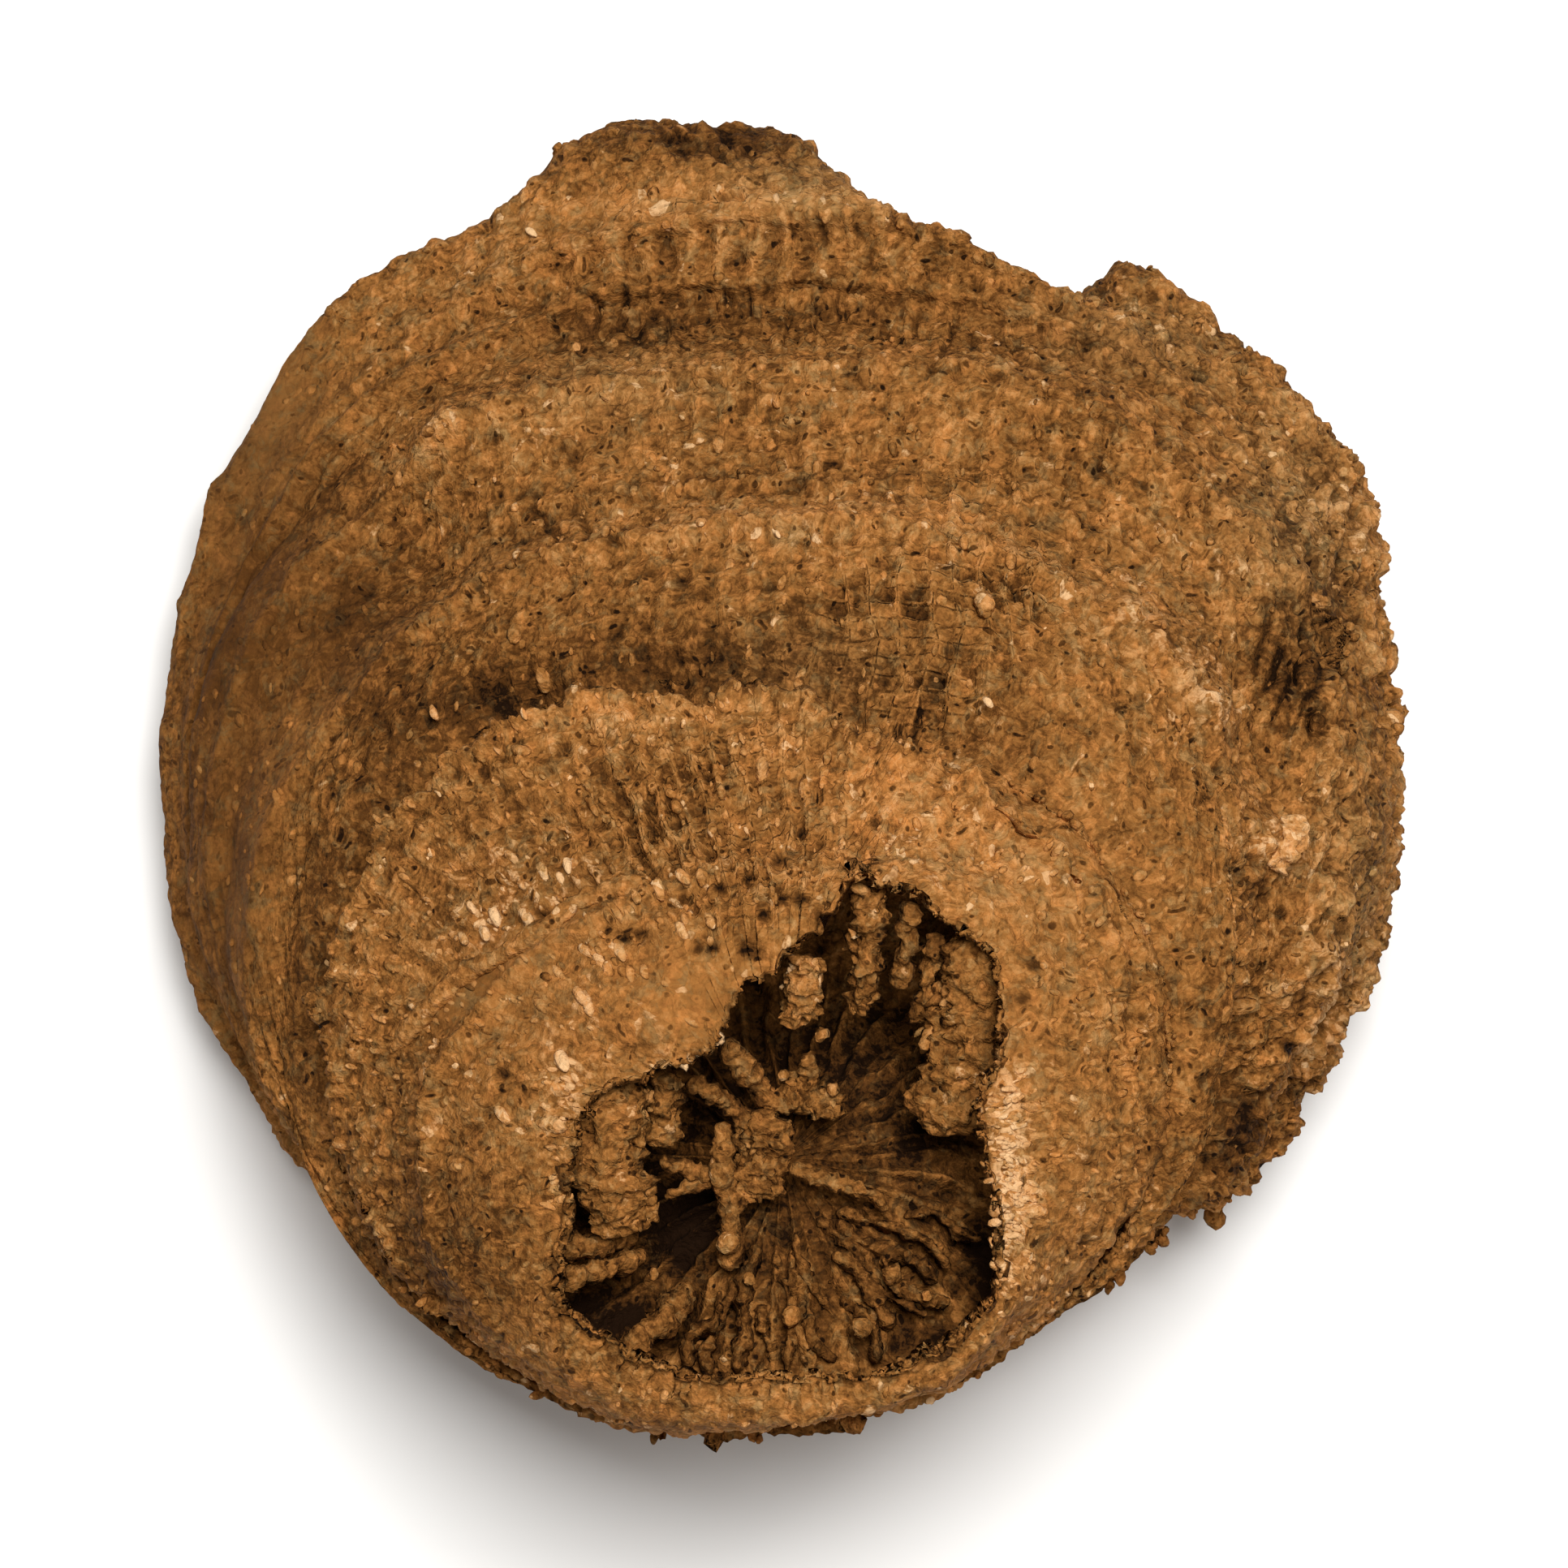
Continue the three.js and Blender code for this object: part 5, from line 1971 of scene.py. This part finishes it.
def third_stage() -> CupStage:
    """The third cup, from inside the last one to the trench under the tip.

    Returns:
        The stage.
    """
    crest, furrow = LAST_CUP[-2], THIRD_CUP[0]
    trench, under = THIRD_CUP[-1], TIP_CUP[0]
    start = (
        buried(furrow, 0.0, 3.5, 1),
        buried(furrow, 0.8, 6.0, 1),
        sunk(halfway(crest, furrow), 0.975, 0.7, 5),
    )
    end = (
        replace(trench, rows=5),
        replace(sunk(under, 0.985, 0.45, 1), crisp=1.0),
        buried(trench, 0.75, 15.5, 1),
        buried(trench, 0.0, 15.5, 0),
    )
    return CupStage(
        name="third_cup",
        rings=start + THIRD_CUP[:-1] + end,
        columns=936,
        bead_cells=246,
        knob_cells=120,
        seed=200,
        start=6,
        ledges=(
            Ledge(4, -0.2, 0.5, 0.8, 0.16, (0.2, 0.2, 0.4, 1.0, 0.1, 0.0, 0.0, 0.3)),
            Ledge(5, 0.3, 0.4, 0.7, 0.16, (0.6, 0.9, 0.9, 0.5, 0.0, 0.0, 0.0, 0.4)),
            Ledge(6, 0.2, 0.5, 1.0, 0.16, (0.6, 0.9, 1.1, 1.0, 0.2, 0.0, 0.1, 0.6)),
        ),
        chamber_width=1.2,
        knob_side=(1.3, 0.7, 0.4, 0.8, 0.9, 0.7, 0.8, 1.3),
        bead_side=(1.1, 1.0, 1.0, 0.8, 0.6, 0.8, 1.0, 1.1),
        rib_side=(0.6, 0.9, 1.2, 0.8, 0.6, 0.8, 0.8, 0.6),
        painted_shade_side=(0.3, 0.4, 1.0, 1.6, 0.8, 0.3, 0.2, 0.2),
    )


def tip_stage() -> CupStage:
    """The tip, from inside the third cup over its broken edge to the floor of its hollow.

    Returns:
        The stage.
    """
    trench, under = THIRD_CUP[-1], TIP_CUP[0]
    start = (buried(under, 0.0, 14.5, 1), buried(under, 0.8, 16.0, 1), sunk(trench, 0.97, 0.6, 4))
    return CupStage(
        name="tip_cup",
        rings=start + TIP_CUP,
        columns=832,
        bead_cells=190,
        knob_cells=96,
        seed=300,
        start=8,
        ledges=(
            Ledge(6, 0.45, 0.7, 0.36, 0.34, (0.0, 0.0, 0.25, 1.0, 0.8, 0.1, 0.0, 0.0)),
            Ledge(4, 0.5, 0.45, 0.5, 0.16, (0.4, 0.8, 1.0, 1.0, 0.5, 0.1, 0.0, 0.2)),
        ),
        chamber_width=0.8,
        slot_pitch=0.6,
        knob_side=(0.8, 0.4, 0.3, 0.5, 0.6, 0.5, 0.6, 0.8),
        rib_side=(0.5, 0.7, 1.2, 1.2, 1.0, 0.9, 0.8, 0.6),
        painted_shade_side=(0.1, 0.1, 1.0, 1.9, 0.7, 0.2, 0.1, 0.1),
    )


def halfway(first: Ring, second: Ring) -> Ring:
    """Ring midway between two rings.

    Args:
        first: One ring.
        second: The other ring, with as many values.

    Returns:
        The ring between them, with the skin of the first.
    """
    reach = tuple((a + b) / 2 for a, b in zip(first.reach, second.reach))
    height = tuple((a + b) / 2 for a, b in zip(first.height, second.height))
    return Ring((first.centre + second.centre) / 2, reach, height, 1, first.skin)


def grainy(stage: CupStage, least: float) -> np.ndarray:
    """How much grain a stage's skin has, row by row, from least to 1, and 0 where it is bare."""
    beads = stage.strengths(Form.BEADS)
    return least + (1.0 - least) * beads / float(beads.max()) * (beads > 0)


def crust_grit(last: CupStage, third: CupStage, tip: CupStage) -> tuple[Grit, ...]:
    """Grains grown on the outside of the cups.

    Args:
        last: The last cup.
        third: The third cup.
        tip: The tip.

    Returns:
        The pieces of grit.
    """
    facing = [np.clip(stage.normals[..., 2] + 0.35, 0, 1) for stage in (last, third, tip)]
    right, middle, inner = (
        around(side, stage.turns())
        for stage, side in (
            (last, (1.0, 0.8, 0.35, 0.25, 0.12, 0.35, 0.6, 1.0)),
            (third, (1.0, 0.7, 0.6, 0.7, 0.5, 0.4, 0.6, 1.0)),
            (tip, (0.8, 0.8, 0.9, 1.0, 0.9, 0.6, 0.5, 0.6)),
        )
    )
    outer = last.strengths(Form.KNOBS) * right * facing[0]
    lips = grainy(third, 0.25) * middle * facing[1]
    unshaded = (tip.strengths(Form.PAINTED_SHADE) < 0.3) * facing[2]
    crystals = total(CRYSTALS, tip.points) * unshaded
    crown = (tip.strengths(Form.RIBS) + 0.3) * inner * unshaded
    return (
        grown_on("outer_knobs", last, 800, outer, (0.16, 0.25, 0.30), 0.25, 0.75, 401, -0.3),
        grown_on("middle_grains", third, 900, lips, (0.12, 0.16, 0.26), 0.3, 0.45, 402, -0.25),
        grown_on("tip_grains", tip, 900, crown, (0.10, 0.11, 0.22), 0.3, 0.35, 403, -0.05),
        grown_on("rim_crystals", tip, 230, crystals, (0.09, 0.11, 0.24), 0.35, 0.3, 404, 0.35),
    )


# Single rods beside the tip's ledge: place, half length and lightness.
LONE_RODS = (
    (-10.7, -6.2, 26.2, 0.42, 2.4), (-11.1, -6.8, 26.1, 0.38, 1.0), (-9.5, -6.3, 27.0, 0.42, 0.3),
    (-8.9, -4.6, 26.5, 0.40, 1.0), (-8.0, -4.4, 26.9, 0.38, 2.2), (-7.2, -7.8, 29.6, 0.42, 0.5),
    (-6.7, -8.2, 30.0, 0.45, 0.9), (-6.0, -7.9, 30.3, 0.42, 0.7), (-7.4, -9.5, 30.2, 0.46, 0.7),
    (-7.1, -9.9, 30.4, 0.44, 0.9), (-8.3, -8.5, 29.2, 0.36, 0.2), (-4.6, -5.5, 29.7, 0.48, 0.7),
    (-3.7, -5.1, 30.2, 0.42, 0.8), (-5.4, -5.8, 29.8, 0.36, 0.2), (-11.6, -5.8, 25.6, 0.34, 0.4),
    (-11.9, -7.0, 25.7, 0.34, 0.3), (-6.4, -8.5, 30.3, 0.38, 0.3), (-5.6, -8.7, 30.6, 0.38, 0.4),
    (-5.1, -8.6, 30.8, 0.36, 0.4), (-3.7, -7.2, 30.9, 0.42, 0.9), (-2.7, -6.8, 31.1, 0.38, 0.6),
    (-10.3, -13.7, 28.9, 0.42, 1.2), (-8.1, -11.8, 30.0, 0.5, 1.4), (-10.0, 22.4, 9.6, 0.3, 2.4),
    (-0.3, 8.9, 20.6, 0.28, 1.8), (-13.3, 2.1, 19.6, 0.34, 0.9), (7.6, 1.9, 25.2, 0.3, 1.9),
)


def rod_rows(stage: CupStage) -> Grit:
    """Short rods that stand in rows on both sides of the tip's ledge, one to a septum.

    Args:
        stage: The tip.

    Returns:
        The rods.
    """
    draw = np.random.default_rng(405)
    rows = (
        # ring, rows beyond it, first and last bearing in degrees
        (4, 15, 116, 176), (4, 22, 112, 180), (6, 5, 104, 176), (6, 9, 96, 186), (3, 6, 200, 250),
    )
    seats = []
    for ring, beyond, first, last in rows:
        bearings = np.arange(first, last, 360 / SEPTA)
        bearings = bearings[draw.random(len(bearings)) < 0.6] + draw.normal(0, 0.3, 1)
        for bearing in bearings:
            column = int(round(bearing / 360 * stage.columns)) % stage.columns
            row = stage.ring_row(ring) + beyond + int(draw.integers(-1, 2))
            seats.append((row, column))
    j, i = np.array(seats).T
    rising = np.gradient(stage.points, axis=0)
    count = len(seats)
    scale = np.exp(draw.normal(0.0, 0.22, (count, 1))) * np.exp(draw.normal(0.0, 0.15, (count, 3)))
    sizes = np.array((0.12, 0.14, 0.30)) * scale
    out = unit(stage.normals[j, i] + draw.normal(0.0, 0.12, (count, 3)))
    along = unit(rising[j, i]) + draw.normal(0.0, 0.12, (count, 3))
    places = stage.points[j, i] - out * sizes[:, :1] * 0.1
    single = np.array(LONE_RODS)
    places = np.concatenate([places, single[:, :3]])
    sizes = np.concatenate([sizes, np.array((0.45, 0.5, 1.0)) * single[:, 3:4]])
    along = np.concatenate([along, draw.normal((-0.46, 0.80, -0.42), 0.15, (len(single), 3))])
    out = np.concatenate([out, draw.normal((-0.47, 0.19, 0.87), 0.15, (len(single), 3))])
    tones = np.concatenate([draw.normal(-0.3, 0.3, count), single[:, 4]])
    return Grit("ledge_rods", places, sizes, along, out, tones, 405, slices=9, stacks=7)


def seated(stage: CupStage, path: Path, proud: float) -> Path:
    """Moves a path onto the wall.

    Args:
        stage: The cup that carries it.
        path: Places near the wall, in mm.
        proud: How far the path's middle stands out of the wall.

    Returns:
        The path's places on the wall.
    """
    wall, out = stage.points.reshape(-1, 3), stage.normals.reshape(-1, 3)
    seats = [int(np.argmin(((wall - place) ** 2).sum(axis=1))) for place in np.array(path)]
    return tuple(tuple(wall[seat] + out[seat] * proud) for seat in seats)


def strap(stage: CupStage) -> Bundle:
    """Smooth band that lies along the tip's growth ledge, and the pale torn edge of the flap.

    Args:
        stage: The tip.

    Returns:
        Both, as one piece.
    """
    band = (
        (-14.5, -10.9, 23.1), (-13.5, -9.7, 24.9), (-12.1, -8.4, 26.1), (-10.5, -7.4, 27.2),
        (-8.9, -6.5, 27.8), (-7.5, -5.7, 28.1), (-6.0, -5.2, 28.2), (-4.9, -5.0, 27.9),
    )
    edge = (
        (-4.1, -12.0, 30.6), (-3.6, -11.7, 30.6), (-3.1, -11.5, 30.6),
        (-2.6, -11.3, 30.6), (-2.2, -11.1, 30.6),
    )
    rods = (
        Rod(seated(stage, band, 0.06), 0.42, 0.75, 0.3, -0.2, 61, rows=90, columns=16, rough=0.04),
        Rod(seated(stage, edge, 0.02), 0.13, 1.0, 1.6, 2.6, 81, rows=40, columns=10, rough=0.35),
    )
    return Bundle("growth_strap", rods)


def pale_nodule() -> Bundle:
    """Pale nodule that stands out of the right side.

    Returns:
        The nodule.
    """
    path = (
        (19.5, -1.9, 20.5), (19.3, -2.5, 20.9), (19.0, -3.1, 21.1), (18.6, -3.6, 21.1), (18.3, -3.9, 21.0),
    )
    nodule = Rod(path, 0.55, 0.8, 1.6, 0.9, 71, rows=48, columns=26, rough=0.2)
    return Bundle("pale_nodule", (nodule,))


def report(piece: bpy.types.Object) -> None:
    """Logs a piece's name and size."""
    triangles = sum(len(face.vertices) - 2 for face in piece.data.polygons)
    LOG.info("%s: %d triangles", piece.name, triangles)


def main() -> None:
    """Builds the fossil piece by piece, then the studio round it."""
    logging.basicConfig(level=logging.INFO, format="%(name)s: %(message)s")
    crust = CrustStone().make()
    # The hollow's stone is a darker copy of the crust: painted shade of the hollow's inside.
    inner = CrustStone(name="hollow_stone_shaded", lightness=0.34).make()
    last, third, tip = last_stage(), third_stage(), tip_stage()
    for stage in (last, third, tip):
        report(stage.build(crust))
    for grit in (*crust_grit(last, third, tip), rod_rows(tip), strap(tip), pale_nodule()):
        report(grit.build(crust))
    hollow = Hollow()
    for part in (hollow.fan(), hollow.frame_rods(), hollow.plates()):
        report(part.build(inner))
    studio = Studio()
    studio.floor()
    studio.light()
    studio.camera()


if __name__ == "__main__":
    main()
